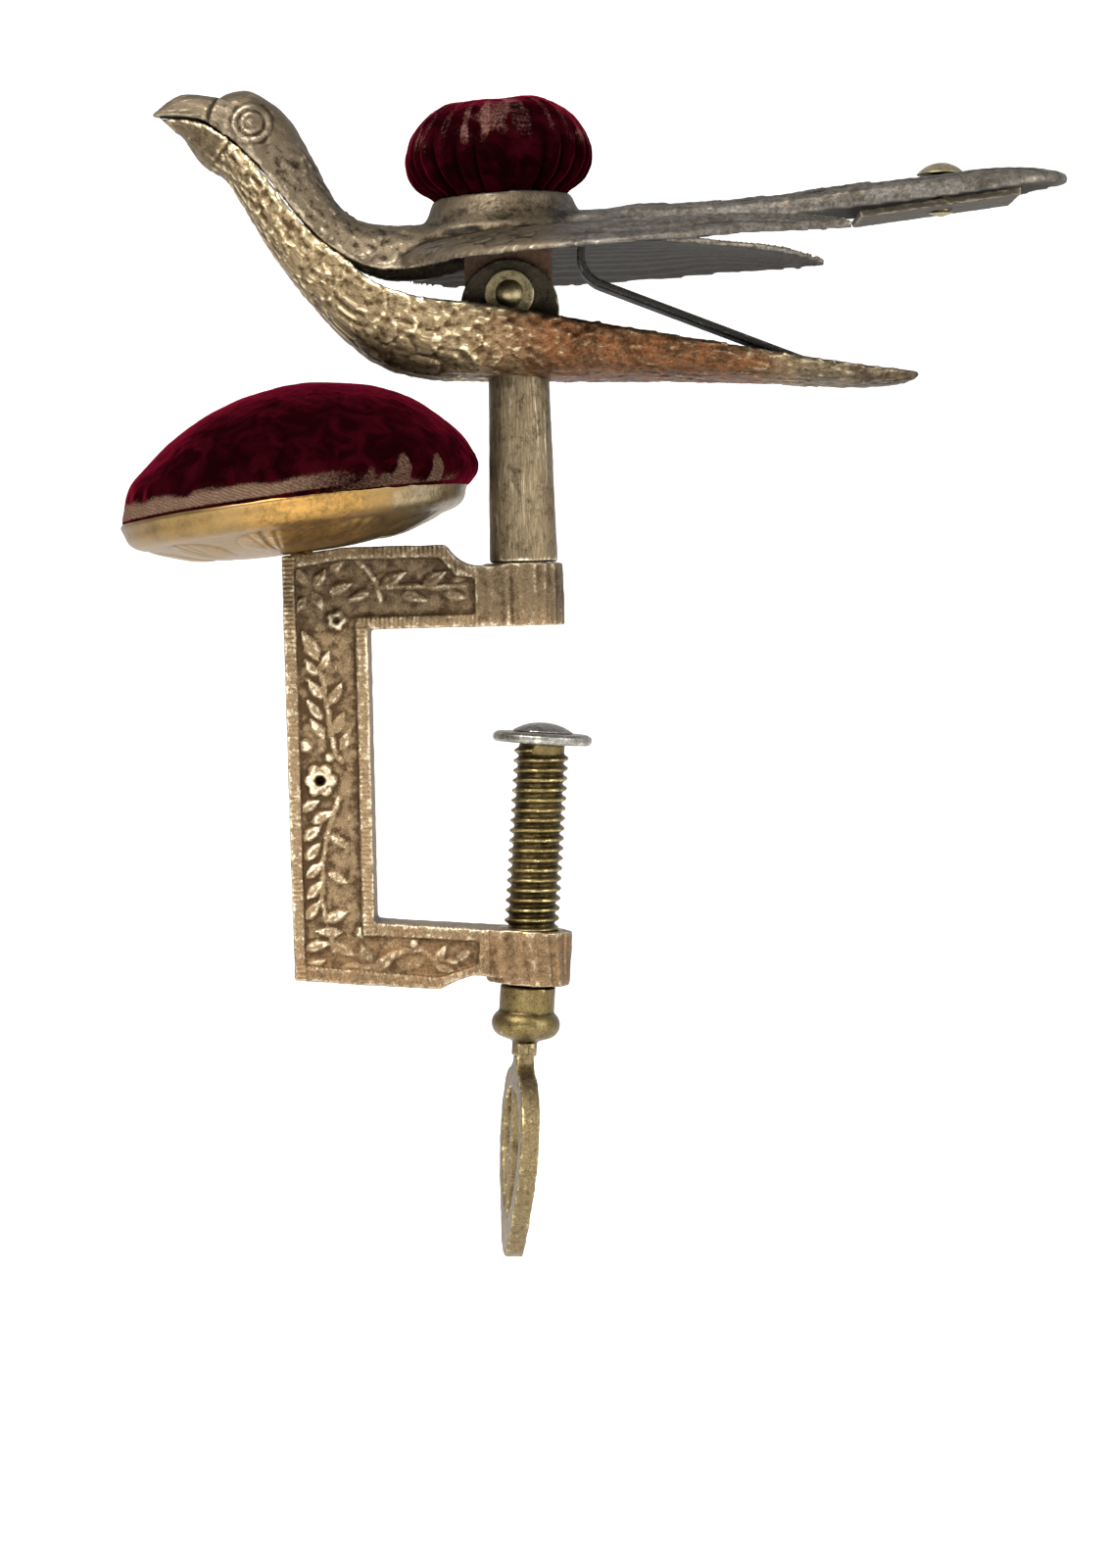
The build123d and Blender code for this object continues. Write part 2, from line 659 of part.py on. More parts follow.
with BuildPart() as large_cushion_stuffing:
    with BuildSketch(cup_side):
        with BuildLine():
            crown, foot = dome_outline(VELVET_T + 0.1)
            Polyline(foot, (0, FOOT_Z), crown)
        make_face()
    revolve(axis=cup_axis)
save(large_cushion_stuffing.part, "large_cushion_stuffing")

with BuildPart() as large_cushion_card:
    with BuildSketch(cup_side):
        with Locations((0, FOOT_Z)):
            Rectangle(14.4, CARD_T, align=(Align.MIN, Align.MAX))
    revolve(axis=cup_axis)
save(large_cushion_card.part, "large_cushion_card")

# ---------------------------------------------------------------- small pincushion on the back
# heights are from the collar's rim plane
BACK_TOP, BACK_FOOT = 10.2, -0.9


def bag_outline(inset):
    """Half outline of the small gathered cushion, inset from its face, from top to neck."""
    top, shoulder = (0, BACK_TOP - inset), (7.4 - 0.7 * inset, 7.9 - 0.7 * inset)
    low, neck = (8.2 - inset, 1.1 + 0.3 * inset), (6.5 - inset, 0.1)
    ThreePointArc(top, (4.1 - 0.3 * inset, 9.6 - 0.95 * inset), shoulder)
    ThreePointArc(shoulder, (BACK_CUSHION_R - inset, 3.7), low)
    Line(low, neck)
    return top, neck


with BuildPart() as back_cushion_velvet:
    with BuildSketch(collar_side):
        with BuildLine():
            out_top, out_neck = bag_outline(0)
            in_top, in_neck = bag_outline(VELVET_T)
            Line(out_top, in_top)
            # the gathered edge, turned in under the stuffing
            Polyline(out_neck, (6.2, BACK_FOOT), (3.6, BACK_FOOT), (3.6, -0.2), (5.6, -0.2), in_neck)
        make_face()
    revolve(axis=collar_axis)
save(back_cushion_velvet.part, "back_cushion_velvet")

with BuildPart() as back_cushion_stuffing:
    with BuildSketch(collar_side):
        with BuildLine():
            top, neck = bag_outline(VELVET_T + 0.1)
            Polyline(neck, (0, neck[1]), top)
        make_face()
    revolve(axis=collar_axis)
save(back_cushion_stuffing.part, "back_cushion_stuffing")

with BuildPart() as gathering_thread:
    with BuildSketch(collar_side):
        with Locations((3.2, BACK_FOOT + 0.35)):
            Circle(0.25)
    revolve(axis=collar_axis)
save(gathering_thread.part, "gathering_thread")

with BuildPart() as back_cushion_card:
    with BuildSketch(collar_side):
        with Locations((0, BACK_FOOT)):
            Rectangle(6.3, 0.4, align=(Align.MIN, Align.MAX))
    revolve(axis=collar_axis)
save(back_cushion_card.part, "back_cushion_card")

# ---------------------------------------------------------------- clamp screw
# it is made upright on the Z axis, and then laid on its own leaning axis
with BuildPart() as clamp_screw:
    with BuildSketch(side):
        with BuildLine():
            Polyline(
                (0, PAD_UNDER + PAD_T + 0.05),
                (SPIGOT_R, PAD_UNDER + PAD_T + 0.05),
                (SPIGOT_R, PAD_UNDER - FIT),
                (ROOT_R, PAD_UNDER - FIT),
                (ROOT_R, THREAD_BOTTOM),
                (CREST_R, THREAD_BOTTOM),
                (CREST_R, BEAD_TOP),
            )
            ThreePointArc((CREST_R, BEAD_TOP), (BEAD_R, BEAD_TOP - 1.3), (2.6, BEAD_TOP - 2.6))
            Polyline((2.6, BEAD_TOP - 2.6), (1.3, -13.9), (1.3, -15.4), (0, -15.4))
            Line((0, -15.4), (0, PAD_UNDER + PAD_T + 0.05))
        make_face()
    revolve(axis=Axis.Z)
    # right-hand thread
    with BuildLine():
        helix = Helix(PITCH, THREAD_TOP - THREAD_BOTTOM, ROOT_R, center=(0, 0, THREAD_BOTTOM))
    with BuildSketch(Plane(helix @ 0, x_dir=(1, 0, 0), z_dir=helix % 0)):
        Polygon((-0.15, -0.46), (0.5, -0.1), (0.5, 0.1), (-0.15, 0.46), align=None)
    sweep(path=helix, is_frenet=True)
clamp_screw.part = screw_frame.location * clamp_screw.part
save(clamp_screw.part, "clamp_screw")

with BuildPart() as screw_pad:
    with BuildSketch(screw_side):
        with BuildLine():
            Polyline(
                (SPIGOT_R + FIT, PAD_UNDER),
                (PAD_R - 0.25, PAD_UNDER),
                (PAD_R, PAD_UNDER + 0.25),
                (PAD_R, PAD_UNDER + 0.8),
                (PAD_R - 0.5, PAD_UNDER + PAD_T),
                (SPIGOT_R + FIT, PAD_UNDER + PAD_T),
                close=True,
            )
        make_face()
    revolve(axis=Axis(screw_side.origin, screw_axis))
save(screw_pad.part, "screw_pad")

with BuildPart() as pad_rivet:
    rivet_base = PAD_UNDER + PAD_T + 0.06
    with BuildSketch(screw_side):
        with BuildLine():
            Polyline((0, rivet_base + 1.0), (0, rivet_base), (3.1, rivet_base), (3.1, rivet_base + 0.1))
            dome_rim, dome_top = (3.1, rivet_base + 0.1), (0, rivet_base + 1.0)
            ThreePointArc(dome_rim, dome_middle(dome_rim, dome_top), dome_top)
        make_face()
    revolve(axis=Axis(screw_side.origin, screw_axis))
save(pad_rivet.part, "pad_rivet")

LOOP_T, LOOP_TURN = 1.9, 7.0
LOOP_TOP, LOOP_TIP = -13.95, -36.3
loop_plane = Plane(
    screw_side.origin,
    x_dir=Vector(0, 1, 0).rotate(Axis((0, 0, 0), screw_axis), LOOP_TURN),
    z_dir=screw_frame.x_dir.rotate(Axis((0, 0, 0), screw_axis), LOOP_TURN),
)
LOOP_HALF = [
    (1.5, LOOP_TOP),
    (1.9, -16.2),
    (5.4, -17.4),
    (9.0, -20.6),
    (9.7, -24.6),
    (7.6, -29.4),
    (3.6, -34.2),
]
SOCKET_END = -15.5
HOLE_HALF = [(0.75, -19.0), (3.8, -19.4), (6.9, -22.0), (7.1, -25.0), (5.0, -29.0), (0.75, -32.2)]


def mirrored(points):
    """The same points on the other side of the local y axis, in reverse order."""
    return [(-x, y) for x, y in reversed(points)]


with BuildPart() as thumb_loop:
    with BuildSketch(loop_plane):
        with BuildLine():
            Spline(LOOP_HALF)
            ThreePointArc(LOOP_HALF[-1], (0, LOOP_TIP), mirrored(LOOP_HALF)[0])
            Spline(mirrored(LOOP_HALF))
            Line(mirrored(LOOP_HALF)[-1], LOOP_HALF[0])
        make_face()
        for hole in (HOLE_HALF, mirrored(HOLE_HALF)):
            with BuildLine():
                Spline(hole)
                Line(hole[-1], hole[0])
            make_face(mode=Mode.SUBTRACT)
    extrude(amount=LOOP_T / 2, both=True)
    # socket for the screw's end
    with BuildSketch(screw_frame.offset(SOCKET_END)):
        Circle(SPIGOT_R + SEAT)
    extrude(amount=4, mode=Mode.SUBTRACT)
save(thumb_loop.part, "thumb_loop")
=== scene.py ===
"""Looks of the sewing bird: cast clamp, stamped bird, two velvet pincushions, threaded screw."""
from math import cos, pi, radians, sin, tau

import bpy
import numpy as np
from mathutils import Matrix, Vector


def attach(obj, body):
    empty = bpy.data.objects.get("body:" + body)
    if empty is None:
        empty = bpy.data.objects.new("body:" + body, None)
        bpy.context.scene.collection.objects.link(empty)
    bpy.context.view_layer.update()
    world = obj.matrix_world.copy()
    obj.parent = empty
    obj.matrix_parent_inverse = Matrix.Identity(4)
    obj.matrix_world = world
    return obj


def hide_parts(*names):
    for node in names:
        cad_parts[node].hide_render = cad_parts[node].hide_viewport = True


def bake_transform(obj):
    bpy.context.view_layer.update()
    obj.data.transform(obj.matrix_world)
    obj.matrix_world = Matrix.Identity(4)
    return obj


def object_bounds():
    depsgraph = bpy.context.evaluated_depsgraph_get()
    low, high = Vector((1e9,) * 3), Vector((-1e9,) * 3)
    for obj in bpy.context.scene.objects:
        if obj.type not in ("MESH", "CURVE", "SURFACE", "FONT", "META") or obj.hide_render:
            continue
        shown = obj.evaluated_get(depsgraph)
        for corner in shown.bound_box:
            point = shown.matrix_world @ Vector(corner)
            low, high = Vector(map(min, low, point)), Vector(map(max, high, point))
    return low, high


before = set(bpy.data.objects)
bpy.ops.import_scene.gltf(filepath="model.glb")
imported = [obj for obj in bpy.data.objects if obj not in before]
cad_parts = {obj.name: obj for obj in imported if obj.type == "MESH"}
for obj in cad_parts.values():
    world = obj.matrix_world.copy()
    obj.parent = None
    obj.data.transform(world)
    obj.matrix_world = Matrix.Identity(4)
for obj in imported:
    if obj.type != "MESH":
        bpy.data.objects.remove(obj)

CAD_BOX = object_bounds()
MM = 0.001
scene = bpy.context.scene


# ------------------------------------------------------------------ numpy helpers
def lattice_noise(points, seed=0):
    """Smooth value noise from -1 to 1 at points given in lattice units."""
    base = np.floor(points).astype(np.int64)
    share = points - base
    share = share * share * (3 - 2 * share)
    total = np.zeros(len(points))
    for corner in range(8):
        step = np.array([corner & 1, corner >> 1 & 1, corner >> 2 & 1])
        at = base + step
        mixed = at[:, 0] * 73856093 ^ at[:, 1] * 19349663 ^ at[:, 2] * 83492791 ^ seed * 2654435761
        mixed = (mixed ^ (mixed >> 13)) * 1274126177 & 0x7FFFFFFF
        value = (mixed ^ (mixed >> 16)) % 65536 / 32767.5 - 1
        weight = np.prod(np.where(step, share, 1 - share), axis=1)
        total += weight * value
    return total


def fractal(points, octaves=3, seed=0):
    """Noise with finer and weaker layers added."""
    return sum(
        lattice_noise(points * 2**k + 17.3 * k, seed + k) / 2**k for k in range(octaves)
    )


def smoothstep(low, high, x):
    """0 below low, 1 above high, smooth between; low may be more than high."""
    t = np.clip((x - low) / (high - low), 0, 1)
    return t * t * (3 - 2 * t)


def vertex_array(mesh, what="co"):
    """Vertex places or normals as an N x 3 array, in millimetres for places."""
    flat = np.empty(len(mesh.vertices) * 3)
    mesh.vertices.foreach_get(what, flat)
    return flat.reshape(-1, 3) / (MM if what == "co" else 1)


def set_places(mesh, places):
    """Move the mesh's vertices to places in millimetres."""
    mesh.vertices.foreach_set("co", (places * MM).ravel())
    mesh.update()


def relaxed(mesh, places, rounds):
    """Places after a few rounds of moving each vertex towards its neighbours' mean."""
    flat = np.empty(len(mesh.edges) * 2, np.int64)
    mesh.edges.foreach_get("vertices", flat)
    a, b = flat.reshape(-1, 2).T
    count = np.bincount(a, minlength=len(places)) + np.bincount(b, minlength=len(places))
    count = np.maximum(count, 1)[:, None]
    for _ in range(rounds):
        around = np.stack(
            [
                np.bincount(a, places[b, k], len(places)) + np.bincount(b, places[a, k], len(places))
                for k in range(3)
            ],
            axis=1,
        )
        places = 0.5 * places + 0.5 * around / count
    return places


def write_layer(mesh, name, values):
    """Store one number, or one vector, on every point of the mesh."""
    flat = np.asarray(values, np.float32)
    kind, field = ("FLOAT", "value") if flat.ndim == 1 else ("FLOAT_VECTOR", "vector")
    mesh.attributes.new(name, kind, "POINT").data.foreach_set(field, flat.ravel())


def mark_wear(mesh, reach=14, scale=0.12):
    """Write "wear" on the points: above 0.5 on ridges and edges, below 0.5 in recesses."""
    places = vertex_array(mesh)
    out = np.einsum("ij,ij->i", places - relaxed(mesh, places, reach), vertex_array(mesh, "normal"))
    write_layer(mesh, "wear", np.clip(0.5 + 0.5 * out / scale, 0, 1))


# ------------------------------------------------------------------ mesh helpers
def link(name, mesh):
    """New object of that mesh, in the scene."""
    made = bpy.data.objects.new(name, mesh)
    scene.collection.objects.link(made)
    return made


def apply_all(made):
    """Replace the object's mesh by what its modifiers make of it."""
    graph = bpy.context.evaluated_depsgraph_get()
    fresh = bpy.data.meshes.new_from_object(made.evaluated_get(graph))
    made.modifiers.clear()
    made.data = fresh


def recast(node, name, voxel, rounds=3):
    """Dense, evenly meshed copy of a CAD node with its edges slightly rounded."""
    made = link(name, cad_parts[node].data.copy())
    made.data.materials.clear()
    remesh = made.modifiers.new("remesh", "REMESH")
    remesh.mode = "VOXEL"
    remesh.voxel_size = voxel * MM
    apply_all(made)
    places = relaxed(made.data, vertex_array(made.data), rounds)
    set_places(made.data, places)
    made.data.shade_smooth()
    return made


def grid_mesh(name, rows, closed_columns=True, caps=(False, False)):
    """Mesh from rows of points in millimetres; columns may close, and end rows may be capped."""
    high, wide = rows.shape[:2]
    points = rows.reshape(-1, 3) * MM
    faces = []
    last = wide if closed_columns else wide - 1
    for i in range(high - 1):
        for j in range(last):
            k = (j + 1) % wide
            faces.append((i * wide + j, i * wide + k, (i + 1) * wide + k, (i + 1) * wide + j))
    if caps[0]:
        faces.append(tuple(reversed(range(wide))))
    if caps[1]:
        faces.append(tuple((high - 1) * wide + j for j in range(wide)))
    mesh = bpy.data.meshes.new(name)
    mesh.from_pydata([tuple(p) for p in points], [], faces)
    mesh.validate()
    made = link(name, mesh)
    mesh.shade_smooth()
    return made


def finish_piece(made, material, body, slot, *nodes):
    """Give a piece its material, hide the CAD nodes it stands for, and attach it to the body it moves with.
    """
    made.data.materials.clear()
    made.data.materials.append(material)
    if nodes:
        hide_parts(*nodes)
    if body:
        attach(made, body)
    return made


# ------------------------------------------------------------------ material helpers
class Nodes:
    """Short calls for building one material's node tree."""

    def __init__(self, name):
        self.material = bpy.data.materials.new(name)
        self.material.use_nodes = True
        self.tree = self.material.node_tree
        self.shader = self.tree.nodes["Principled BSDF"]

    def add(self, kind, values=None, **settings):
        made = self.tree.nodes.new("ShaderNode" + kind)
        for key, value in settings.items():
            setattr(made, key, value)
        for key, value in (values or {}).items():
            self.put(made.inputs[key], value)
        return made

    def put(self, socket, value):
        if isinstance(value, bpy.types.NodeSocket):
            self.tree.links.new(value, socket)
        else:
            socket.default_value = value

    def place(self, scale=(1, 1, 1)):
        """Object coordinates in millimetres, stretched by scale."""
        where = self.add("TexCoord").outputs["Object"]
        mapped = self.add("Mapping", {"Vector": where})
        mapped.inputs["Scale"].default_value = [s / MM for s in scale]
        return mapped.outputs["Vector"]

    def noise(self, scale, detail=4.0, rough=0.55, vector=None, distortion=0.0):
        values = {"Scale": scale, "Detail": detail, "Roughness": rough, "Distortion": distortion}
        values["Vector"] = vector or self.place()
        return self.add("TexNoise", values).outputs["Fac"]

    def ramp(self, value, low, high, out_low=0.0, out_high=1.0):
        values = {"Value": value, "From Min": low, "From Max": high}
        values.update({"To Min": out_low, "To Max": out_high})
        return self.add("MapRange", values, interpolation_type="SMOOTHSTEP").outputs["Result"]

    def maths(self, operation, a, b=0.0):
        made = self.add("Math", operation=operation)
        self.put(made.inputs[0], a)
        self.put(made.inputs[1], b)
        return made.outputs[0]

    def mix(self, factor, a, b):
        made = self.add("Mix", data_type="RGBA")
        self.put(made.inputs[0], factor)
        self.put(made.inputs[6], a if isinstance(a, bpy.types.NodeSocket) else (*a, 1))
        self.put(made.inputs[7], b if isinstance(b, bpy.types.NodeSocket) else (*b, 1))
        return made.outputs[2]

    def attribute(self, name):
        return self.add("Attribute", attribute_name=name).outputs["Fac"]

    def axis(self, which):
        """One object coordinate, in millimetres."""
        parts = self.add("SeparateXYZ", {"Vector": self.place()})
        return parts.outputs[which]

    def bump(self, height, depth, strength=1.0, below=None):
        values = {"Height": height, "Distance": depth * MM, "Strength": strength}
        if below:
            values["Normal"] = below
        return self.add("Bump", values).outputs["Normal"]


def worn_metal(
    name,
    recess,
    body,
    bright,
    rough=(0.32, 0.6),
    flecks=0.5,
    fleck_size=0.6,
    stretch=(1, 1, 1),
    pits=0.02,
    metallic=1.0,
    tint=None,
    flow=False,
    ticks=0.0,
    stain=0.6,
    painted_inner_shade=False,
    grit=0.3,
):
    """Old metal: dirt in the recesses, bare metal on the ridges, blotches, flecks and pits.

    flecks is the share of bright metal on plain ground, tint(nodes, colour) may change the colour
    along the piece, flow lays the grain along the "flow" layer, ticks is the depth of the fine milling
    along the "run" layer, lining paints the sheet's inner face near black as painted shade, and grit is how
    much the fine grain darkens it.
    """
    n = Nodes(name)
    wear = n.attribute("wear")
    if flow:
        mapped = n.add("Mapping", {"Vector": n.add("Attribute", attribute_name="flow").outputs["Vector"]})
        mapped.inputs["Scale"].default_value = stretch
        grain_place = mapped.outputs["Vector"]
    else:
        grain_place = n.place(stretch)
    blotch = n.noise(0.33, 6, 0.65, distortion=0.4)
    grain = n.noise(1.0 / fleck_size, 6, 0.7, grain_place)
    fine = n.noise(5.5, 5, 0.65, grain_place)
    spots = n.noise(1.7, 5, 0.7)
    unevenness = n.maths("MULTIPLY", n.maths("SUBTRACT", blotch, 0.5), stain)
    spotting = n.maths("MULTIPLY", n.maths("SUBTRACT", spots, 0.5), 2.5 * grit)
    clean = n.ramp(n.maths("ADD", n.maths("ADD", wear, unevenness), spotting), 0.24, 0.60)
    base = n.mix(clean, recess, body)
    speck = n.ramp(
        n.maths("ADD", n.maths("MULTIPLY", wear, 0.55), n.maths("MULTIPLY", grain, 0.8)),
        0.88 - 0.28 * flecks,
        1.06 - 0.28 * flecks,
    )
    base = n.mix(speck, base, bright)
    if tint:
        base = tint(n, base)
    dark = n.add("Mix", data_type="RGBA", blend_type="MULTIPLY")
    dark.inputs[0].default_value = 1.0
    n.put(dark.inputs[6], base)
    n.put(dark.inputs[7], n.ramp(fine, 0.32, 0.68, 0.92 - grit, 1.0 + grit / 2))
    colour = dark.outputs[2]
    # painted shade: the inner face, marked by the "inside" layer, is coloured near black where the shell's
    # inside falls in shadow
    if painted_inner_shade:
        colour = n.mix(n.maths("MULTIPLY", n.attribute("inside"), 0.88), colour, (0.016, 0.013, 0.010))
    n.put(n.shader.inputs["Base Color"], colour)
    smoothness = n.maths("ADD", n.maths("MULTIPLY", speck, -0.6), n.maths("ADD", blotch, 0.25))
    roughness = n.ramp(smoothness, 0.0, 0.9, *rough)
    n.shader.inputs["Metallic"].default_value = metallic
    # the painted inner shade is also made rough and barely metallic, so no reflection lightens it
    if painted_inner_shade:
        n.put(n.shader.inputs["Metallic"], n.ramp(n.attribute("inside"), 0.2, 0.9, metallic, 0.1))
        roughness = n.maths("MAXIMUM", roughness, n.maths("MULTIPLY", n.attribute("inside"), 0.8))
    n.put(n.shader.inputs["Roughness"], roughness)
    relief = n.bump(fine, pits, 0.8, n.bump(grain, pits * 2.5, 0.7))
    if ticks:
        wave = n.maths("SINE", n.maths("MULTIPLY", n.attribute("run"), tau / 0.46))
        milled = n.maths("MULTIPLY", wave, n.attribute("edge"))
        relief = n.bump(milled, ticks, 1.0, relief)
    n.put(n.shader.inputs["Normal"], relief)
    return n.material


# ------------------------------------------------------------------ the materials
def tint_along(stops, axis=0):
    """Patches of another colour between places along an axis: (start, end, fade, colour, strength)."""

    def tint(n, colour):
        along = n.maths("ADD", n.axis(axis), n.maths("MULTIPLY", n.noise(0.45, 5, 0.7), 9.0))
        patch = n.ramp(n.noise(1.1, 6, 0.7), 0.30, 0.52)
        for start, end, fade, tone, strength in stops:
            amount = n.maths(
                "MULTIPLY",
                n.ramp(along, start, start + fade),
                n.ramp(along, end + fade, end),
            )
            amount = n.maths("MULTIPLY", amount, n.maths("ADD", n.maths("MULTIPLY", patch, 0.35), 0.65))
            spots = n.maths("ADD", n.noise(1.5, 6, 0.8), n.maths("MULTIPLY", n.noise(0.4, 3), 0.5))
            spotted = n.mix(n.ramp(spots, 0.62, 0.86), [0.28 * c for c in tone], tone)
            colour = n.mix(n.maths("MULTIPLY", amount, strength), colour, spotted)
        return colour

    return tint


gilt = worn_metal(
    "stamped_gilt", (0.075, 0.045, 0.022), (0.25, 0.182, 0.10), (0.80, 0.66, 0.40),
    rough=(0.28, 0.52), flecks=0.5, fleck_size=0.6, stretch=(0.55, 1.5, 1), flow=True, painted_inner_shade=True,
    tint=tint_along([
        (-60, -27, 3, (0.17, 0.125, 0.078), 0.8),
        (-3, 26, 12, (0.15, 0.057, 0.023), 0.92),
        (28, 50, 7, (0.14, 0.105, 0.07), 0.85),
        (36, 90, 10, (0.085, 0.056, 0.036), 0.92),
    ]),
)
pewter = worn_metal(
    "stamped_pewter", (0.032, 0.023, 0.014), (0.135, 0.104, 0.068), (0.37, 0.30, 0.205),
    rough=(0.36, 0.6), flecks=0.32, fleck_size=0.8, stretch=(0.5, 1.4, 1), flow=True,
    stain=0.9, painted_inner_shade=True,
    tint=tint_along([(6, 60, 5, (0.175, 0.168, 0.158), 0.65)]),
)
dull_plate = worn_metal(
    "under_plate", (0.02, 0.015, 0.010), (0.055, 0.042, 0.028), (0.22, 0.18, 0.12),
    rough=(0.5, 0.75), flecks=0.35, metallic=0.6, fleck_size=0.7, stretch=(0.4, 1.2, 1),
)
cast = worn_metal(
    "cast_brass", (0.068, 0.040, 0.020), (0.24, 0.165, 0.09), (0.66, 0.57, 0.40),
    rough=(0.28, 0.55), flecks=0.44, fleck_size=0.5, pits=0.04, ticks=0.05, stain=0.95,
    tint=tint_along(
        [(4.5, 30, 2.5, (0.07, 0.054, 0.037), 0.5), (-45, -28, 2, (0.27, 0.155, 0.075), 0.5)],
        axis=2,
    ),
)
turned = worn_metal(
    "post_brass", (0.05, 0.036, 0.021), (0.20, 0.152, 0.09), (0.66, 0.58, 0.42),
    rough=(0.22, 0.5), flecks=0.5, fleck_size=0.9, stretch=(1.3, 1.3, 0.13), pits=0.06,
    stain=1.2, grit=0.35,
)
hinge_metal = worn_metal(
    "hinge_steel", (0.014, 0.011, 0.008), (0.055, 0.044, 0.029), (0.28, 0.235, 0.15),
    rough=(0.28, 0.5), flecks=0.4, fleck_size=0.5,
)
washer_metal = worn_metal(
    "washer_brass", (0.06, 0.042, 0.022), (0.38, 0.31, 0.17), (0.62, 0.53, 0.32),
    rough=(0.22, 0.42), flecks=0.5, fleck_size=0.5,
)
rusty = worn_metal(
    "rusty_plate", (0.028, 0.014, 0.008), (0.085, 0.045, 0.022), (0.18, 0.12, 0.07),
    rough=(0.5, 0.75), flecks=0.3, fleck_size=0.5, metallic=0.6, pits=0.03,
)
blued = worn_metal(
    "spring_steel", (0.015, 0.014, 0.013), (0.045, 0.042, 0.038), (0.14, 0.12, 0.10),
    rough=(0.35, 0.6), flecks=0.3, fleck_size=0.5,
)
button_metal = worn_metal(
    "button_brass", (0.10, 0.07, 0.03), (0.36, 0.30, 0.17), (0.66, 0.58, 0.38),
    rough=(0.2, 0.42), flecks=0.4, fleck_size=0.7,
)
screw_metal = worn_metal(
    "screw_brass", (0.03, 0.020, 0.008), (0.175, 0.128, 0.052), (0.50, 0.41, 0.18),
    rough=(0.22, 0.45), flecks=0.42, fleck_size=0.9, pits=0.015,
    tint=tint_along([(-80, -42, 5, (0.50, 0.45, 0.32), 0.75)], 2),
)
loop_metal = worn_metal(
    "loop_brass", (0.045, 0.03, 0.014), (0.21, 0.155, 0.08), (0.86, 0.70, 0.28),
    rough=(0.22, 0.5), flecks=0.5, fleck_size=0.8, pits=0.04,
)
pad_metal = worn_metal(
    "pad_steel", (0.06, 0.055, 0.048), (0.26, 0.245, 0.215), (0.66, 0.64, 0.58),
    rough=(0.24, 0.45), flecks=0.5, fleck_size=0.6,
)
# painted reflection: the amber patch and the pale patch along X stand in for the reflections and highlights
# across the cup's band
cup_metal_with_painted_reflection = worn_metal(
    "cup_brass", (0.07, 0.040, 0.018), (0.25, 0.16, 0.06), (0.46, 0.36, 0.17),
    rough=(0.16, 0.42), flecks=0.35, fleck_size=3.0, stretch=(0.6, 0.6, 1.5), pits=0.004,
    stain=0.6, grit=0.06,
    tint=tint_along([(-24, -13, 4, (0.52, 0.27, 0.06), 0.5), (-9, 0, 3, (0.42, 0.36, 0.24), 0.6)]),
)


def velvet(name, rib_depth, weave_light):
    """Dark maroon pile, with painted sheen in crimson where it turns away and painted shade near black in
    the "fold" layer's pleats.

    The bare weave shows where the "bald" layer is high, ribbed by rib_depth.
    """
    n = Nodes(name)
    bald = n.attribute("bald")
    crush = n.noise(0.36, 5, 0.62, distortion=0.8)
    pile = n.noise(9.0, 3, 0.7)
    # painted sheen: the base colour turns crimson where the surface turns away from the view, standing in
    # for the pile's sheen
    edge = n.add("LayerWeight", {"Blend": 0.3}).outputs["Facing"]
    deep = n.mix(n.ramp(crush, 0.38, 0.70), (0.0045, 0.0003, 0.0006), (0.020, 0.0009, 0.0022))
    painted_sheen = n.ramp(n.maths("ADD", edge, n.maths("MULTIPLY", crush, 0.35)), 0.55, 1.25)
    pile_painted_light = n.mix(painted_sheen, deep, (0.19, 0.007, 0.023))
    # painted shade: the pleat valleys in the "fold" layer are coloured near black
    pile_painted_light = n.mix(n.maths("MULTIPLY", n.attribute("pleat_shade"), 0.85), pile_painted_light, (0.003, 0.0004, 0.0006))
    thin = n.maths("MULTIPLY", n.maths("SUBTRACT", n.noise(3.2, 5, 0.75), 0.5), 1.5)
    patch = n.ramp(n.maths("ADD", bald, thin), 0.25, 1.1)
    slant = n.maths("ADD", n.maths("MULTIPLY", n.axis(0), 0.75), n.maths("MULTIPLY", n.axis(2), 1.9))
    wander = n.maths("MULTIPLY", n.noise(0.8, 3), 1.4)
    wave = n.maths("SINE", n.maths("MULTIPLY", n.maths("ADD", slant, wander), tau / 0.62))
    ribs = n.ramp(wave, -0.9, 0.9, 1 - rib_depth, 1.0)
    weave = n.mix(n.maths("MULTIPLY", ribs, n.noise(2.2, 5, 0.7)), (0.07, 0.035, 0.025), weave_light)
    n.put(n.shader.inputs["Base Color"], n.mix(patch, pile_painted_light, weave))
    n.put(n.shader.inputs["Roughness"], n.ramp(pile, 0.3, 0.7, 0.85, 1.0))
    n.shader.inputs["Specular IOR Level"].default_value = 0.0
    n.shader.inputs["Sheen Weight"].default_value = 0.05
    n.shader.inputs["Sheen Roughness"].default_value = 0.3
    n.shader.inputs["Sheen Tint"].default_value = (0.7, 0.04, 0.10, 1)
    woven = n.bump(n.maths("MULTIPLY", ribs, patch), 0.12, 0.8, n.bump(crush, 0.5, 0.6))
    n.put(n.shader.inputs["Normal"], n.bump(pile, 0.14, 1.0, woven))
    return n.material


velvet_cloth = velvet("velvet", 0.6, (0.235, 0.16, 0.10))
gathered_velvet = velvet("gathered_velvet", 0.0, (0.40, 0.19, 0.155))


def plain_fibre(name, dark, light, scale):
    """Matt fibrous stuff for the hidden filling, card and thread."""
    n = Nodes(name)
    fibre = n.noise(scale, 5, 0.7)
    n.put(n.shader.inputs["Base Color"], n.mix(fibre, dark, light))
    n.put(n.shader.inputs["Roughness"], n.ramp(fibre, 0.3, 0.7, 0.8, 0.95))
    n.put(n.shader.inputs["Normal"], n.bump(fibre, 0.08))
    return n.material


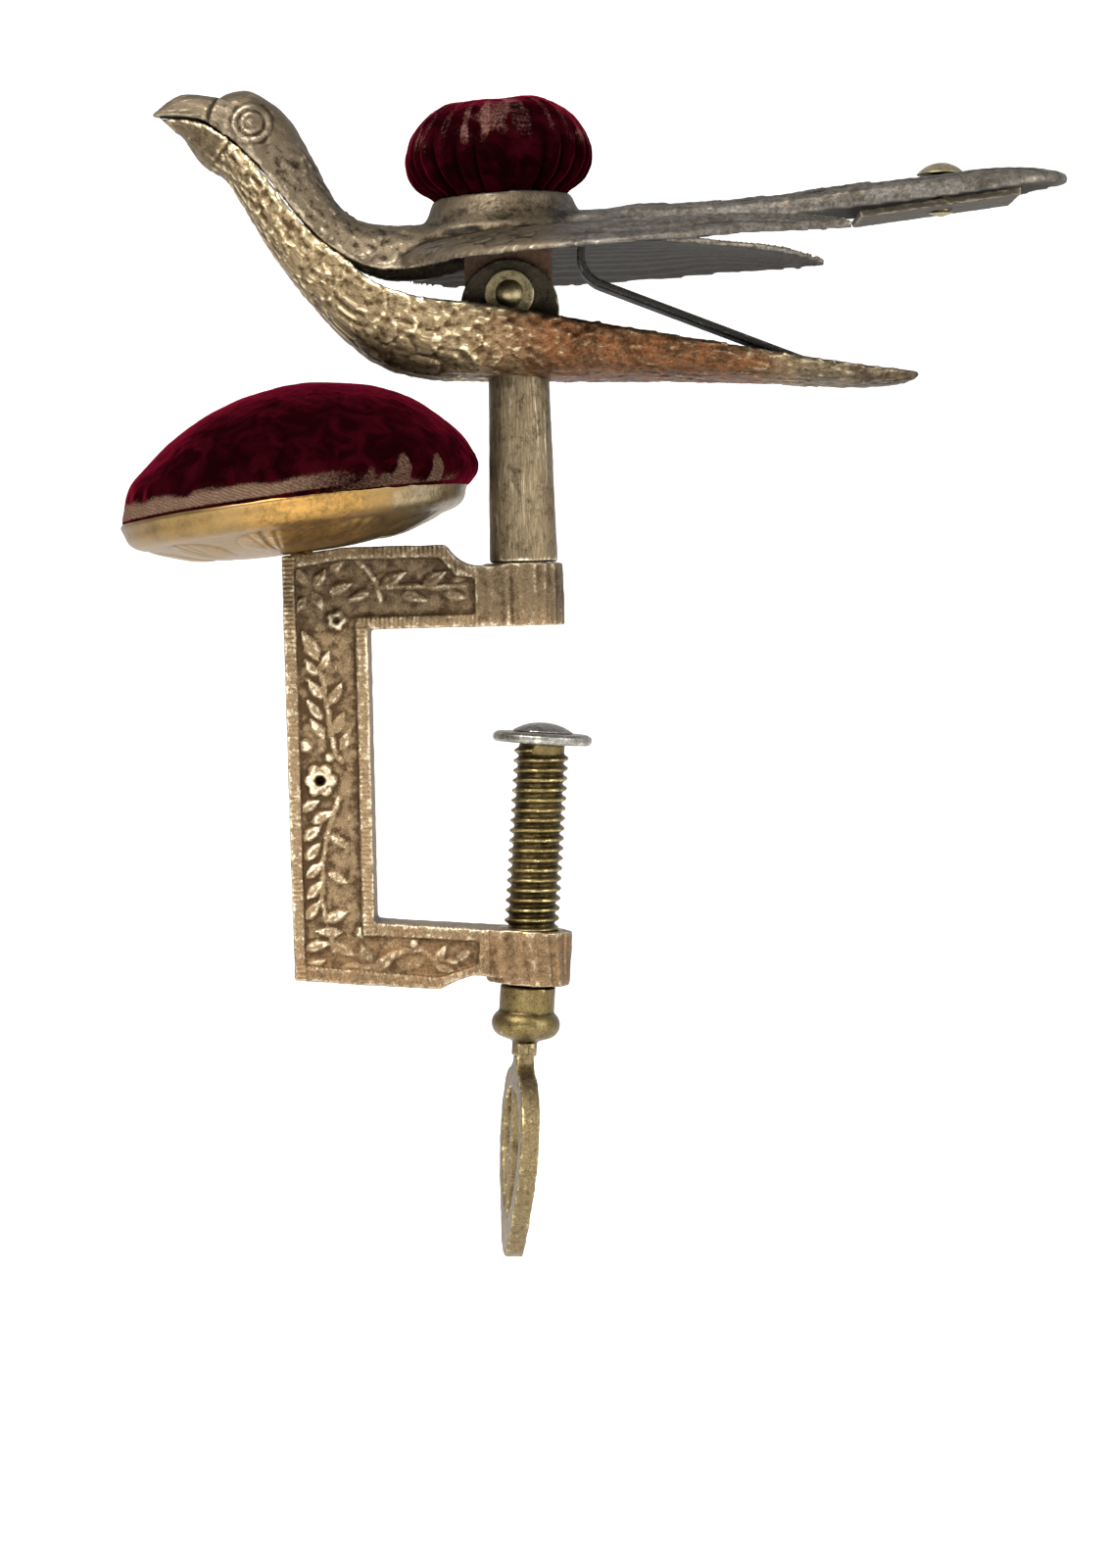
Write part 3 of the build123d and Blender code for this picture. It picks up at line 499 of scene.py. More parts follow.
wool = plain_fibre("wool_filling", (0.30, 0.26, 0.20), (0.62, 0.56, 0.46), 3.0)
pasteboard = plain_fibre("pasteboard", (0.34, 0.26, 0.17), (0.52, 0.42, 0.29), 5.0)
linen = plain_fibre("waxed_thread", (0.10, 0.01, 0.02), (0.25, 0.03, 0.05), 8.0)


# ------------------------------------------------------------------ camera and light
CAMERA_AT = Vector((3.8, -373.5, 0.45)) * MM
PITCH_DOWN, YAW, ROLL = radians(2.58), radians(0.21), radians(-1.47)
camera_data = bpy.data.cameras.new("camera")
camera_data.lens = 83.4
camera_data.sensor_width = 36.0
camera_data.clip_start, camera_data.clip_end = 0.01, 20.0
camera = bpy.data.objects.new("camera", camera_data)
scene.collection.objects.link(camera)
camera.matrix_world = (
    Matrix.Translation(CAMERA_AT)
    @ Matrix.Rotation(YAW, 4, "Z")
    @ Matrix.Rotation(pi / 2 - PITCH_DOWN, 4, "X")
    @ Matrix.Rotation(ROLL, 4, "Z")
)
scene.camera = camera
scene.view_settings.view_transform = "Standard"


def softbox(name, at, aim, size, power):
    """Large soft area light at a place in millimetres, aimed at another."""
    data = bpy.data.lights.new(name, "AREA")
    data.shape = "RECTANGLE"
    data.size, data.size_y = size[0] * MM, size[1] * MM
    data.energy = power
    made = bpy.data.objects.new(name, data)
    scene.collection.objects.link(made)
    made.location = Vector(at) * MM
    direction = (Vector(aim) - Vector(at)).normalized()
    made.rotation_mode = "QUATERNION"
    made.rotation_quaternion = direction.to_track_quat("-Z", "Y")


softbox("key", (-170, -280, 340), (0, 0, 0), (260, 260), 3.6)
softbox("fill", (330, -200, 120), (0, 0, 0), (160, 320), 1.3)
softbox("low", (-60, -260, -60), (0, 0, 10), (300, 60), 0.3)

world = bpy.data.worlds.new("studio")
scene.world = world
world.use_nodes = True
world_tree = world.node_tree
sky_place = world_tree.nodes.new("ShaderNodeTexCoord")
sky_parts = world_tree.nodes.new("ShaderNodeSeparateXYZ")
sky_mix = world_tree.nodes.new("ShaderNodeMapRange")
world_tree.links.new(sky_place.outputs["Generated"], sky_parts.inputs[0])
world_tree.links.new(sky_parts.outputs["Y"], sky_mix.inputs["Value"])
for key, value in (("From Min", -0.9), ("From Max", 0.6), ("To Min", 0.13), ("To Max", 0.8)):
    sky_mix.inputs[key].default_value = value
# seen directly, the studio is as white as the floor
sky_seen = world_tree.nodes.new("ShaderNodeLightPath")
sky_level = world_tree.nodes.new("ShaderNodeMath")
sky_level.operation = "MAXIMUM"
world_tree.links.new(sky_mix.outputs[0], sky_level.inputs[0])
world_tree.links.new(sky_seen.outputs["Is Camera Ray"], sky_level.inputs[1])
world_tree.links.new(sky_level.outputs[0], world_tree.nodes["Background"].inputs["Strength"])
world_tree.nodes["Background"].inputs["Color"].default_value = (1, 1, 1, 1)


def sweep_backdrop():
    """Pale floor, below the screw's lowest place, that curves up into a wall far behind the object."""
    screw_drop, gap_below = 17.0, 1.0
    floor_z = CAD_BOX[0].z / MM - screw_drop - gap_below
    radius, back, front, half = 400.0, 500.0, -900.0, 1500.0
    line = [(front, floor_z), (back, floor_z)]
    for step in range(1, 13):
        turn = step / 12 * pi / 2
        line.append((back + radius * sin(turn), floor_z + radius * (1 - cos(turn))))
    line.append((back + radius, floor_z + 1500.0))
    rows = np.array([[(-half, y, z), (half, y, z)] for y, z in line])
    made = grid_mesh("backdrop", rows, closed_columns=False)
    n = Nodes("paper")
    n.put(n.shader.inputs["Base Color"], n.mix(n.noise(0.02, 2), (0.90, 0.90, 0.90), (0.93, 0.93, 0.93)))
    n.shader.inputs["Roughness"].default_value = 0.9
    n.shader.inputs["Emission Color"].default_value = (1, 1, 1, 1)
    seen = n.add("LightPath").outputs["Is Camera Ray"]
    n.put(n.shader.inputs["Emission Strength"], n.ramp(seen, 0, 1, 0.30, 0.55))
    made.data.materials.append(n.material)


sweep_backdrop()


# ------------------------------------------------------------------ clamp frame
def leaf(places, middle, angle, length, width, height):
    """Height of a cast leaf at places (X, Z): domed, pointed, with a faint midrib."""
    turn = radians(angle)
    dx, dz = places[:, 0] - middle[0], places[:, 1] - middle[1]
    a = (dx * cos(turn) + dz * sin(turn)) / length + 0.5
    b = -dx * sin(turn) + dz * cos(turn)
    inside = (a > 0) & (a < 1)
    half = width / 2 * np.sin(pi * np.clip(a, 0.001, 0.999) ** 0.75)
    across = np.abs(b) / np.maximum(half, 0.01)
    dome = np.clip(1 - across**2, 0, 1) ** 0.6 * (0.6 + 0.4 * np.clip(a, 0, 1))
    rib = 1 - 0.3 * np.exp(-((b / (0.13 * width)) ** 2))
    return np.where(inside & (across < 1), height * dome * rib, 0)


def stem(places, points, width, height):
    """Height of a round raised line through points."""
    best = np.full(len(places), 9.0)
    for (x0, z0), (x1, z1) in zip(points, points[1:]):
        run = np.array([x1 - x0, z1 - z0])
        t = np.clip(((places - (x0, z0)) @ run) / (run @ run), 0, 1)
        near = np.hypot(places[:, 0] - x0 - t * run[0], places[:, 1] - z0 - t * run[1])
        best = np.minimum(best, near)
    return height * np.sqrt(np.clip(1 - (best / (width / 2)) ** 2, 0, 1))


def knob(places, at, radius, height):
    """Height of a small round boss."""
    r = np.hypot(places[:, 0] - at[0], places[:, 1] - at[1]) / radius
    return height * np.sqrt(np.clip(1 - r * r, 0, 1))


def rosette(places, at, petals, radius, height):
    """A small flower of petals round a sunk eye."""
    dx, dz = places[:, 0] - at[0], places[:, 1] - at[1]
    r, angle = np.hypot(dx, dz), np.arctan2(dz, dx)
    rim = radius * (0.8 + 0.2 * np.abs(np.cos(angle * petals / 2)))
    flower = np.sqrt(np.clip(1 - ((r - 0.58 * rim) / (0.46 * rim)) ** 2, 0, 1))
    eye = -1.9 * np.exp(-((r / (0.27 * radius)) ** 4))
    return np.where(r < 1.04 * rim, height * flower, 0) + height * eye


# Leaves of the casting: middle X and Z, heading in degrees, length, width, share of full height.
LEAVES = [
    (-22.0, -1.4, 119, 3.6, 1.6, 1.0), (-21.9, -3.7, 128, 2.3, 1.1, 0.9), (-20.4, -3.0, 64, 2.3, 1.1, 0.8),
    (-21.6, -5.9, 126, 2.6, 1.3, 1.0), (-21.7, -8.0, 128, 2.7, 1.3, 1.0),
    (-21.5, -9.9, 124, 2.5, 1.25, 0.9), (-19.4, -6.4, 60, 2.6, 1.25, 0.75),
    (-19.2, -9.4, 62, 2.6, 1.25, 0.75), (-18.6, -11.2, 66, 2.3, 1.1, 0.7),
    (-22.3, -17.8, 30, 2.3, 1.3, 0.9), (-21.2, -19.0, 28, 2.6, 1.35, 1.0),
    (-22.2, -20.6, 40, 2.4, 1.3, 0.95), (-22.2, -22.5, 48, 2.5, 1.35, 1.0),
    (-22.1, -24.4, 42, 2.5, 1.35, 1.0), (-22.1, -26.4, 46, 2.5, 1.3, 0.95),
    (-22.4, -28.5, 50, 2.5, 1.3, 0.9), (-19.6, -21.5, 152, 2.3, 1.1, 0.6),
    (-19.9, -25.2, 150, 2.3, 1.1, 0.6), (-20.0, -29.2, 25, 2.7, 1.4, 0.9),
    (-20.9, -30.8, 175, 2.6, 1.3, 0.85), (-22.0, -32.2, 12, 2.9, 1.3, 0.95),
    (-22.4, -34.1, 20, 2.6, 1.2, 0.9), (-19.3, -32.7, 330, 2.6, 1.3, 0.8),
    (-18.6, -34.5, 12, 2.4, 1.1, 0.7), (-15.1, -33.9, 40, 3.1, 1.5, 1.0),
    (-17.2, -33.0, 120, 2.2, 1.1, 0.6), (-9.5, -33.4, 58, 2.4, 1.2, 0.9),
    (-9.0, -34.9, 340, 2.4, 1.1, 0.8), (-7.2, -33.6, 30, 2.0, 1.0, 0.6),
    (-12.4, -34.4, 205, 2.4, 1.1, 0.6), (-22.8, 5.7, 125, 2.2, 1.2, 0.8), (-20.7, 5.4, 55, 2.3, 1.2, 0.8),
    (-21.0, 3.0, 300, 2.3, 1.2, 0.8), (-22.9, 2.6, 235, 2.2, 1.1, 0.8), (-18.6, 4.3, 20, 2.6, 1.3, 0.75),
    (-18.9, 6.6, 35, 2.3, 1.1, 0.6), (-13.2, 5.1, 25, 3.0, 1.5, 0.75), (-11.2, 3.2, 340, 2.7, 1.3, 0.7),
    (-9.0, 5.1, 28, 2.8, 1.4, 0.75), (-7.0, 3.2, 345, 2.4, 1.2, 0.7), (-16.9, 3.4, 200, 2.4, 1.2, 0.6),
    (-6.4, 5.0, 15, 2.0, 1.0, 0.6),
]  # fmt: skip
STEMS = [
    [(-19.0, -13.4), (-19.7, -12.7), (-20.2, -9.2), (-20.6, -5.7), (-21.1, -3.7)],
    [(-19.5, -17.2), (-20.7, -20.6), (-21.3, -23.6), (-21.5, -27.6), (-20.9, -30.4), (-20.4, -32.8)],
    [(-17.6, -34.7), (-15.4, -34.3), (-13.4, -33.0), (-11.4, -32.8), (-10.4, -33.8), (-8.0, -34.2)],
    [(-17.0, 7.1), (-16.0, 6.2), (-15.0, 4.6), (-14.65, 3.0)],
    [(-14.6, 4.2), (-12.0, 4.3), (-9.0, 4.1), (-6.0, 4.2)],
]


# Small berries of the casting: middle X and Z, and radius.
BERRIES = [((-22.7, -11.7), 0.7), ((-12.2, -32.2), 0.5), ((-17.6, -30.9), 0.6), ((-20.3, -13.0), 0.5)]


def frame_relief(x, z):
    """Height of the casting's ornament over its recessed panel."""
    p = np.stack([x, z], axis=1)
    full_height = 0.5
    total = np.zeros(len(p))
    for lx, lz, angle, length, width, share in LEAVES:
        total = np.maximum(total, leaf(p, (lx, lz), angle, length, width, share * full_height))
    for line in STEMS:
        total = np.maximum(total, stem(p, line, 0.6, 0.4 * full_height))
    for at, radius in BERRIES:
        total = np.maximum(total, knob(p, at, radius, 0.8 * full_height))
    total = np.maximum(total, rosette(p, (-19.2, 1.0), 5, 1.05, 0.8 * full_height))
    flower = rosette(p, (-21.3, -15.3), 6, 1.75, 0.95 * full_height)
    return np.where(np.hypot(x + 21.3, z + 15.3) < 1.85, flower, total)


def make_clamp_frame():
    """The cast clamp, with its floral panels, milled border and tooled bosses."""
    made = recast("clamp_frame", "clamp_casting", 0.19, 3)
    places, normals = vertex_array(made.data), vertex_array(made.data, "normal")
    x, y, z = places.T
    face = smoothstep(0.75, 0.95, np.abs(normals[:, 1]))
    in_bar = (x < -4.4) & (np.abs(y) > 2.9)
    half_bar, panel_depth = 3.7, 0.45
    sunk = half_bar - panel_depth
    on_floor = smoothstep(sunk + 0.32, sunk + 0.1, np.abs(y)) * in_bar
    ripple = 1 + 0.3 * fractal(places / 0.9, 2, 7)
    relief = frame_relief(x, z) * on_floor * ripple
    chase = 0.075 * fractal(places / 0.75, 3, 5) * on_floor
    rough = 0.04 * fractal(places / 1.3, 3, 11)
    off_axis = x + 0.084 * np.minimum(z + 29, 0)
    around = np.arctan2(y, off_axis)
    boss = (x > -4.6) & (np.abs(normals[:, 2]) < 0.6)
    bore = boss & (off_axis * normals[:, 0] + y * normals[:, 1] < 0)
    boss &= ~bore
    rough = np.where(bore, -0.07, rough)
    tooled = lattice_noise(np.stack([around * 11, z * 0.1, 0 * z], 1), 3)
    tooled = boss * (0.09 * tooled - 0.09 * np.abs(np.sin(around * 9.5)))
    places = places + normals * (rough + tooled)[:, None]
    places[:, 1] += np.sign(y) * face * (relief + chase)
    set_places(made.data, places)
    mark_wear(made.data, 18, 0.17)
    upright = (x < -23.2) | ((x > -17.4) & (x < -15.9) & (z < 0.2) & (z > -31))
    write_layer(made.data, "run", np.where(upright, z, x))
    on_border = smoothstep(3.45, 3.6, np.abs(y)) * in_bar
    write_layer(made.data, "edge", on_border * (0.6 + 0.4 * lattice_noise(places / 3.0, 2)))
    finish_piece(made, cast, "clamp", "cast_brass", "clamp_frame")


make_clamp_frame()

# ------------------------------------------------------------------ the bird
# Spine of the bird in side view (X, Z), from the bill along the throat to the lower tail.
SPINE = np.array(
    [(-37, 52.8), (-32, 52.2), (-28.5, 49.9), (-24.5, 45.2), (-20, 39.8), (-15, 36), (-8, 33.6), (45, 25)]
)


def spine_coordinates(places):
    """Distance along the spine and signed distance above it, in side view."""
    runs = np.diff(SPINE, axis=0)
    lengths = np.hypot(*runs.T)
    starts = np.concatenate([[0], np.cumsum(lengths)[:-1]])
    flat = places[:, [0, 2]]
    best = np.full(len(flat), 1e9)
    along, above = np.zeros(len(flat)), np.zeros(len(flat))
    for start, run, length, begin in zip(SPINE[:-1], runs, lengths, starts):
        t = np.clip((flat - start) @ run / length**2, 0, 1)
        off = flat - start - t[:, None] * run
        far = np.hypot(*off.T)
        nearer = far < best
        best = np.where(nearer, far, best)
        along = np.where(nearer, begin + t * length, along)
        sign = np.sign(run[0] * off[:, 1] - run[1] * off[:, 0])
        above = np.where(nearer, sign * far, above)
    return along, above


def scales(u, v, long, wide, seed=0):
    """Height of overlapping feathers, 0 to 1: u runs back along the body, v across it."""
    drift = np.stack([u / (2.2 * long), v / (2.2 * wide), 0 * u + seed], 1)
    u = u + 0.45 * long * lattice_noise(drift, 3)
    v = v + 0.40 * wide * lattice_noise(drift, 8)
    row = np.floor(u / long)
    height = np.zeros(len(u))
    taken = np.zeros(len(u), bool)
    for back in (2, 1, 0):
        k = row - back
        shift = np.where(k % 2 == 0, 0, 0.5)
        column = np.round(v / wide - shift) + shift
        jitter = 0.2 * np.sin(k * 12.9 + column * 7.7 + seed)
        a = u / long - k - 0.5 + jitter
        b = (v / wide - column) * 2
        inside = (a / 1.55) ** 2 + (b / 1.25) ** 2 < 1
        value = np.clip(0.35 + 0.42 * a, 0, 1) - 0.16 * b * b - 0.16 * np.exp(-((b / 0.16) ** 2))
        fresh = inside & ~taken & (a > -0.2)
        height = np.where(fresh, value, height)
        taken |= fresh
    return height


def make_lower_shell():
    """Lower half of the bird: throat, breast, belly and lower tail, with stamped feathers."""
    made = recast("lower_shell", "bird_underside", 0.213, 5)
    places, normals = vertex_array(made.data), vertex_array(made.data, "normal")
    # the bill's underside rises to a point
    bill_floor = 51.35 - 0.95 * (places[:, 0] + 34.5) - 9 * (places[:, 0] > -34.5)
    places[:, 2] = np.maximum(places[:, 2], bill_floor)
    along, above = spine_coordinates(places)
    y = places[:, 1]
    across = np.arctan2(y, -above) * 5.5
    outward = np.stack([0 * y, y, np.minimum(above, 0) * 1.4], 1)
    outer = smoothstep(-0.2, 0.5, np.einsum("ij,ij->i", outward, normals) / np.maximum(1, np.abs(above)))
    breast = smoothstep(16, 30, along)
    small = (1 - breast) * scales(along, across, 1.3, 1.5) + breast * scales(along, across, 2.0, 2.1, 2)
    long_ones = scales(along, across, 5.0, 1.4, 3)
    tail = smoothstep(48, 58, along)
    bill = smoothstep(8.6, 10.4, along)
    flakes = fractal(np.stack([along / 1.1, across / 0.55, 0 * y], 1), 3, 21)
    body_relief = (1 - tail) * (0.17 * small + 0.12 * flakes)
    relief = bill * (body_relief + tail * (0.23 * long_ones + 0.08 * flakes))
    relief += (1 - bill) * 0.05 * flakes
    chin_fold = -0.25 * np.exp(-(((along - 9.4) / 0.35) ** 2))
    lip = 0.05 * smoothstep(-1.1, -0.5, above) * (along < 30)
    places = places + normals * (outer * (relief - 0.10 * bill + chin_fold + lip))[:, None]
    places += normals * (0.02 * fractal(places / 0.9, 2, 31))[:, None]
    set_places(made.data, places)
    mark_wear(made.data, 12, 0.10)
    write_layer(made.data, "flow", np.stack([along, across, 0 * y], 1))
    # the "inside" layer marks the inner face, which the material colours near black as painted shade
    write_layer(made.data, "inside", 1 - outer)
    finish_piece(made, gilt, "clamp", "stamped_gilt", "lower_shell")


make_lower_shell()


def wing_share(places):
    """Share of the way from a wing's inner edge to its outer edge at each place's X."""
    x, wide = places[:, 0], np.abs(places[:, 1])
    bins = np.arange(-12, 35, 1.0)
    outer = np.array([wide[np.abs(x - b) < 0.6].max(initial=1) for b in bins])
    inner = np.interp(bins, (-12, 11, 18, 25, 30, 34), (6, 6, 8.6, 13, 16.4, 18.8))
    edge_out, edge_in = np.interp(x, bins, outer), np.interp(x, bins, inner)
    return (wide - edge_in) / np.maximum(edge_out - edge_in, 0.5)


EYE = (-26.3, 51.3)


def make_upper_shell():
    """Upper half of the bird: bill, head with ringed eye, neck, back, wings and tail."""
    made = recast("upper_shell", "bird_back", 0.260, 6)
    places, normals = vertex_array(made.data), vertex_array(made.data, "normal")
    x, y, z = places.T
    along, above = spine_coordinates(places)
    wide = np.abs(y)
    up = smoothstep(0.05, 0.35, normals[:, 2])
    side_out = smoothstep(0.2, 0.6, normals[:, 1] * np.sign(y)) * (x < -8)
    outer = np.maximum(up, side_out)
    across = np.arctan2(y, np.maximum(above, 0.1)) * 6.0
    flakes = fractal(np.stack([along / 1.2, across / 0.6, 0 * y], 1), 3, 41)
    neck = smoothstep(13, 17, along) * smoothstep(-8, -12, x)
    relief = neck * (0.16 * scales(along, across, 1.5, 1.7, 5) + 0.10 * flakes)
    collar = np.hypot(x + 1.27, y)
    clear_of_collar = smoothstep(9.5, 11.5, collar)
    # wings
    share = wing_share(places)
    wing = smoothstep(-0.05, 0.05, share) * smoothstep(-12, -8, x) * (x < 34) * (wide > 5.6)
    vanes = share * 9 + 0.25 * np.sin(x * 0.35)
    vane = 1 - np.abs((vanes % 1) * 2 - 1) ** 1.6
    rachis = np.exp(-((((vanes % 1) - 0.5) / 0.09) ** 2))
    barbs = 0.5 + 0.5 * np.sin(tau * (x * 0.9 + np.abs((vanes % 1) - 0.5) * 2.4))
    quills = 0.24 * vane + 0.08 * rachis + 0.04 * barbs
    coverts = 0.22 * scales(x + 14 + 2.0 * share, share * 12, 2.6, 2.0, 9)
    front = smoothstep(9, 5, x + 1.5 * np.sin(share * 9))
    rim = smoothstep(1.0, 0.86, share) * smoothstep(0.5, 0.85, np.abs(normals[:, 2]))
    relief += wing * rim * (front * coverts * clear_of_collar + (1 - front) * quills)
    # back and tail
    tail = smoothstep(8, 13, x) * (1 - wing) * (wide < 8)
    barred = y / np.interp(x, (6, 20, 45, 57), (7.0, 6.1, 6.5, 5.0)) * 3.5
    tail_vane = 1 - np.abs(((barred + 0.5) % 1) * 2 - 1) ** 1.8
    tail_barbs = 0.5 + 0.5 * np.sin(tau * (x * 0.8 + np.abs(((barred + 0.5) % 1) - 0.5) * 2.2))
    rows_of_tips = scales(x + 0.5 * wide, y, 5.4, 2.9, 4) * smoothstep(44, 34, x)
    tail *= smoothstep(3.5, 3.05, np.abs(barred))
    relief += tail * (0.20 * tail_vane + 0.05 * tail_barbs + 0.34 * rows_of_tips)
    # eye: two rings and a ball, inside the round edge of the forehead
    r = np.hypot(x - EYE[0], z - EYE[1])
    ring = 0.15 * np.exp(-(((r - 1.75) / 0.26) ** 2)) - 0.13 * np.exp(-(((r - 1.3) / 0.2) ** 2))
    ring += 0.10 * np.exp(-(((r - 0.95) / 0.18) ** 2)) - 0.12 * np.exp(-(((r - 0.62) / 0.15) ** 2))
    ring += 0.12 * np.exp(-((r / 0.4) ** 2)) - 0.10 * np.exp(-(((r - 2.15) / 0.22) ** 2))
    relief += (along < 20) * (wide > 1.5) * ring * (0.75 + 0.3 * fractal(places / 0.9, 2, 57))
    before_eye = smoothstep(1.5, -0.5, x - EYE[0]) * (along < 16)
    relief += before_eye * (0.22 * smoothstep(4.55, 4.2, r) - 0.16 * np.exp(-(((r - 4.6) / 0.25) ** 2)))
    relief += (along < 16) * 0.05 * flakes
    under = smoothstep(-0.35, -0.6, normals[:, 2])
    relief = outer * relief - under * wing * rim * 0.18 * vane
    places = places + normals * relief[:, None]
    # the thin rims of the wings and the tail are worn smooth
    worn_rim = smoothstep(-12, -8, x) * smoothstep(0.85, 0.55, np.abs(normals[:, 2]))
    places += worn_rim[:, None] * (relaxed(made.data, places, 8) - places)
    places += normals * (0.03 * (1 - worn_rim) * fractal(places / 1.2, 3, 51))[:, None]
    set_places(made.data, places)
    mark_wear(made.data, 12, 0.12)
    write_layer(made.data, "flow", np.stack([along, np.where(x < -9, across, y), 0 * y], 1))
    # the "inside" layer marks the inner faces, which the material colours near black as painted shade
    write_layer(made.data, "inside", 1 - np.maximum(outer, smoothstep(0.5, 0.2, np.abs(normals[:, 2]))))
    finish_piece(made, pewter, "bird_upper", "stamped_pewter", "upper_shell")


make_upper_shell()


# ------------------------------------------------------------------ small metal parts
def tumbled(node, name, material, body, slot, voxel=0.13, rounds=3, dents=0.02, wear_scale=0.08):
    """A plain part with worn, rounded edges and slightly uneven faces."""
    made = recast(node, name, voxel, rounds)
    places = vertex_array(made.data)
    places += vertex_array(made.data, "normal") * (dents * fractal(places / 1.2, 2, 61))[:, None]
    set_places(made.data, places)
    mark_wear(made.data, 10, wear_scale)
    return finish_piece(made, material, body, slot, node)


tumbled("post", "turned_post", turned, "clamp", "post_brass", 0.16)
tumbled("hinge_yoke", "cheeks", hinge_metal, "clamp", "hinge_steel", 0.13)
tumbled("hinge_pin", "rivet_pin", washer_metal, "clamp", "hinge_steel", 0.1)
tumbled("pin_washers", "washers", washer_metal, "clamp", "hinge_steel", 0.09, 2)
tumbled("hinge_bracket", "bracket", rusty, "bird_upper", "rusty_plate", 0.13)
tumbled("spring_rivet", "spring_fixing", blued, "bird_upper", "spring_steel", 0.08)
tumbled("tail_plate", "under_tail", dull_plate, "bird_upper", "stamped_pewter", 0.14)
tumbled("tail_button", "tail_stud", button_metal, "bird_upper", "button_brass", 0.09)
tumbled("cup_rivet", "cup_fixing", cup_metal_with_painted_reflection, "clamp", "cup_brass", 0.12)
tumbled("thumb_loop", "thumb_grip", loop_metal, "screw", "loop_brass", 0.14, 6, 0.05, 0.16)
tumbled("screw_pad", "pad_disc", pad_metal, "pad", "pad_steel", 0.1)
tumbled("pad_rivet", "pad_dome", pad_metal, "screw", "pad_steel", 0.09)
tumbled("clamp_screw", "screw", screw_metal, "screw", "screw_brass", 0.12, 2, 0.0, 0.1)


def make_spring():
    """Leaf spring between the bird's back and its underside."""
    made = recast("leaf_spring", "spring_leaf", 0.13, 3)
    mark_wear(made.data, 10, 0.08)
    finish_piece(made, blued, None, "spring_steel", "leaf_spring")
    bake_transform(made)


make_spring()


# ------------------------------------------------------------------ pincushions
def tilted(rows, centre, degrees):
    """Rows of points (across, depth, height) placed on a plane that rises towards +X."""
    turn = radians(degrees)
    across, depth, height = rows[..., 0], rows[..., 1], rows[..., 2]
    x = centre[0] + across * cos(turn) - height * sin(turn)
    z = centre[1] + across * sin(turn) + height * cos(turn)
    return np.stack([x, depth, z], axis=-1)


def smooth_curve(t, values):
    """Catmull-Rom curve through evenly spaced values, at t from 0 to 1."""
    values = np.array(values, float)
    padded = np.concatenate([[2 * values[0] - values[1]], values, [2 * values[-1] - values[-2]]])
    place = np.clip(t * (len(values) - 1), 0, len(values) - 1.0001)
    i = place.astype(int)
    f = place - i
    a, b, c, d = (padded[i + j] for j in range(4))
    return 0.5 * (2 * b + (c - a) * f + (2 * a - 5 * b + 4 * c - d) * f**2 + (3 * b - a - 3 * c + d) * f**3)


def make_cup():
    """Stamped brass cup: smooth band under a rolled rim, and a dish with pressed leaves below it."""
    angle = np.linspace(0, tau, 420, endpoint=False)
    knots = (
        (0.02, -4.85), (2.6, -4.85), (5.2, -4.8), (8.0, -4.55), (10.8, -4.1), (13.2, -3.35), (15.2, -2.75),
        (16.5, -2.35), (17.3, -1.7), (17.65, -0.8), (17.9, -0.1), (17.75, 0.25), (17.4, 0.05), (17.15, -0.8),
        (16.8, -1.5), (16.0, -1.95), (14.8, -2.25), (12.9, -2.85), (10.6, -3.6), (7.8, -4.05), (5.0, -4.3),
        (2.5, -4.35), (0.02, -4.35),
    )  # fmt: skip
    t = np.linspace(0, 1, 210)[:, None]
    radius = smooth_curve(t, [k[0] for k in knots]) + 0 * angle
    height = smooth_curve(t, [k[1] for k in knots]) + 0 * angle
    beat = (angle * 9 / tau) % 1 - 0.5
    reach = (radius - 12.0) / 3.4
    lobe = np.clip(1 - reach**2 - (beat / 0.36) ** 2, 0, 1) ** 0.5
    side_vein = np.exp(-(((np.abs(beat) - 0.1 - 0.04 * reach) / 0.02) ** 2))
    vein = np.exp(-((beat / 0.035) ** 2)) + 0.6 * side_vein
    pressed = (0.28 * lobe - 0.12 * vein * (lobe > 0.1)) * (t < 0.42)
    height = height - pressed
    rows = np.stack([radius * np.cos(angle), radius * np.sin(angle), height], axis=-1)
    rows[..., 2] += 0.05 * lattice_noise(rows.reshape(-1, 3) / 5.0, 4).reshape(height.shape)
    made = grid_mesh("brass_cup", tilted(rows, (-23.35, 12.9), 6.5), caps=(True, True))
    mark_wear(made.data, 12, 0.14)
    finish_piece(made, cup_metal_with_painted_reflection, "clamp", "cup_brass", "pincushion_cup")


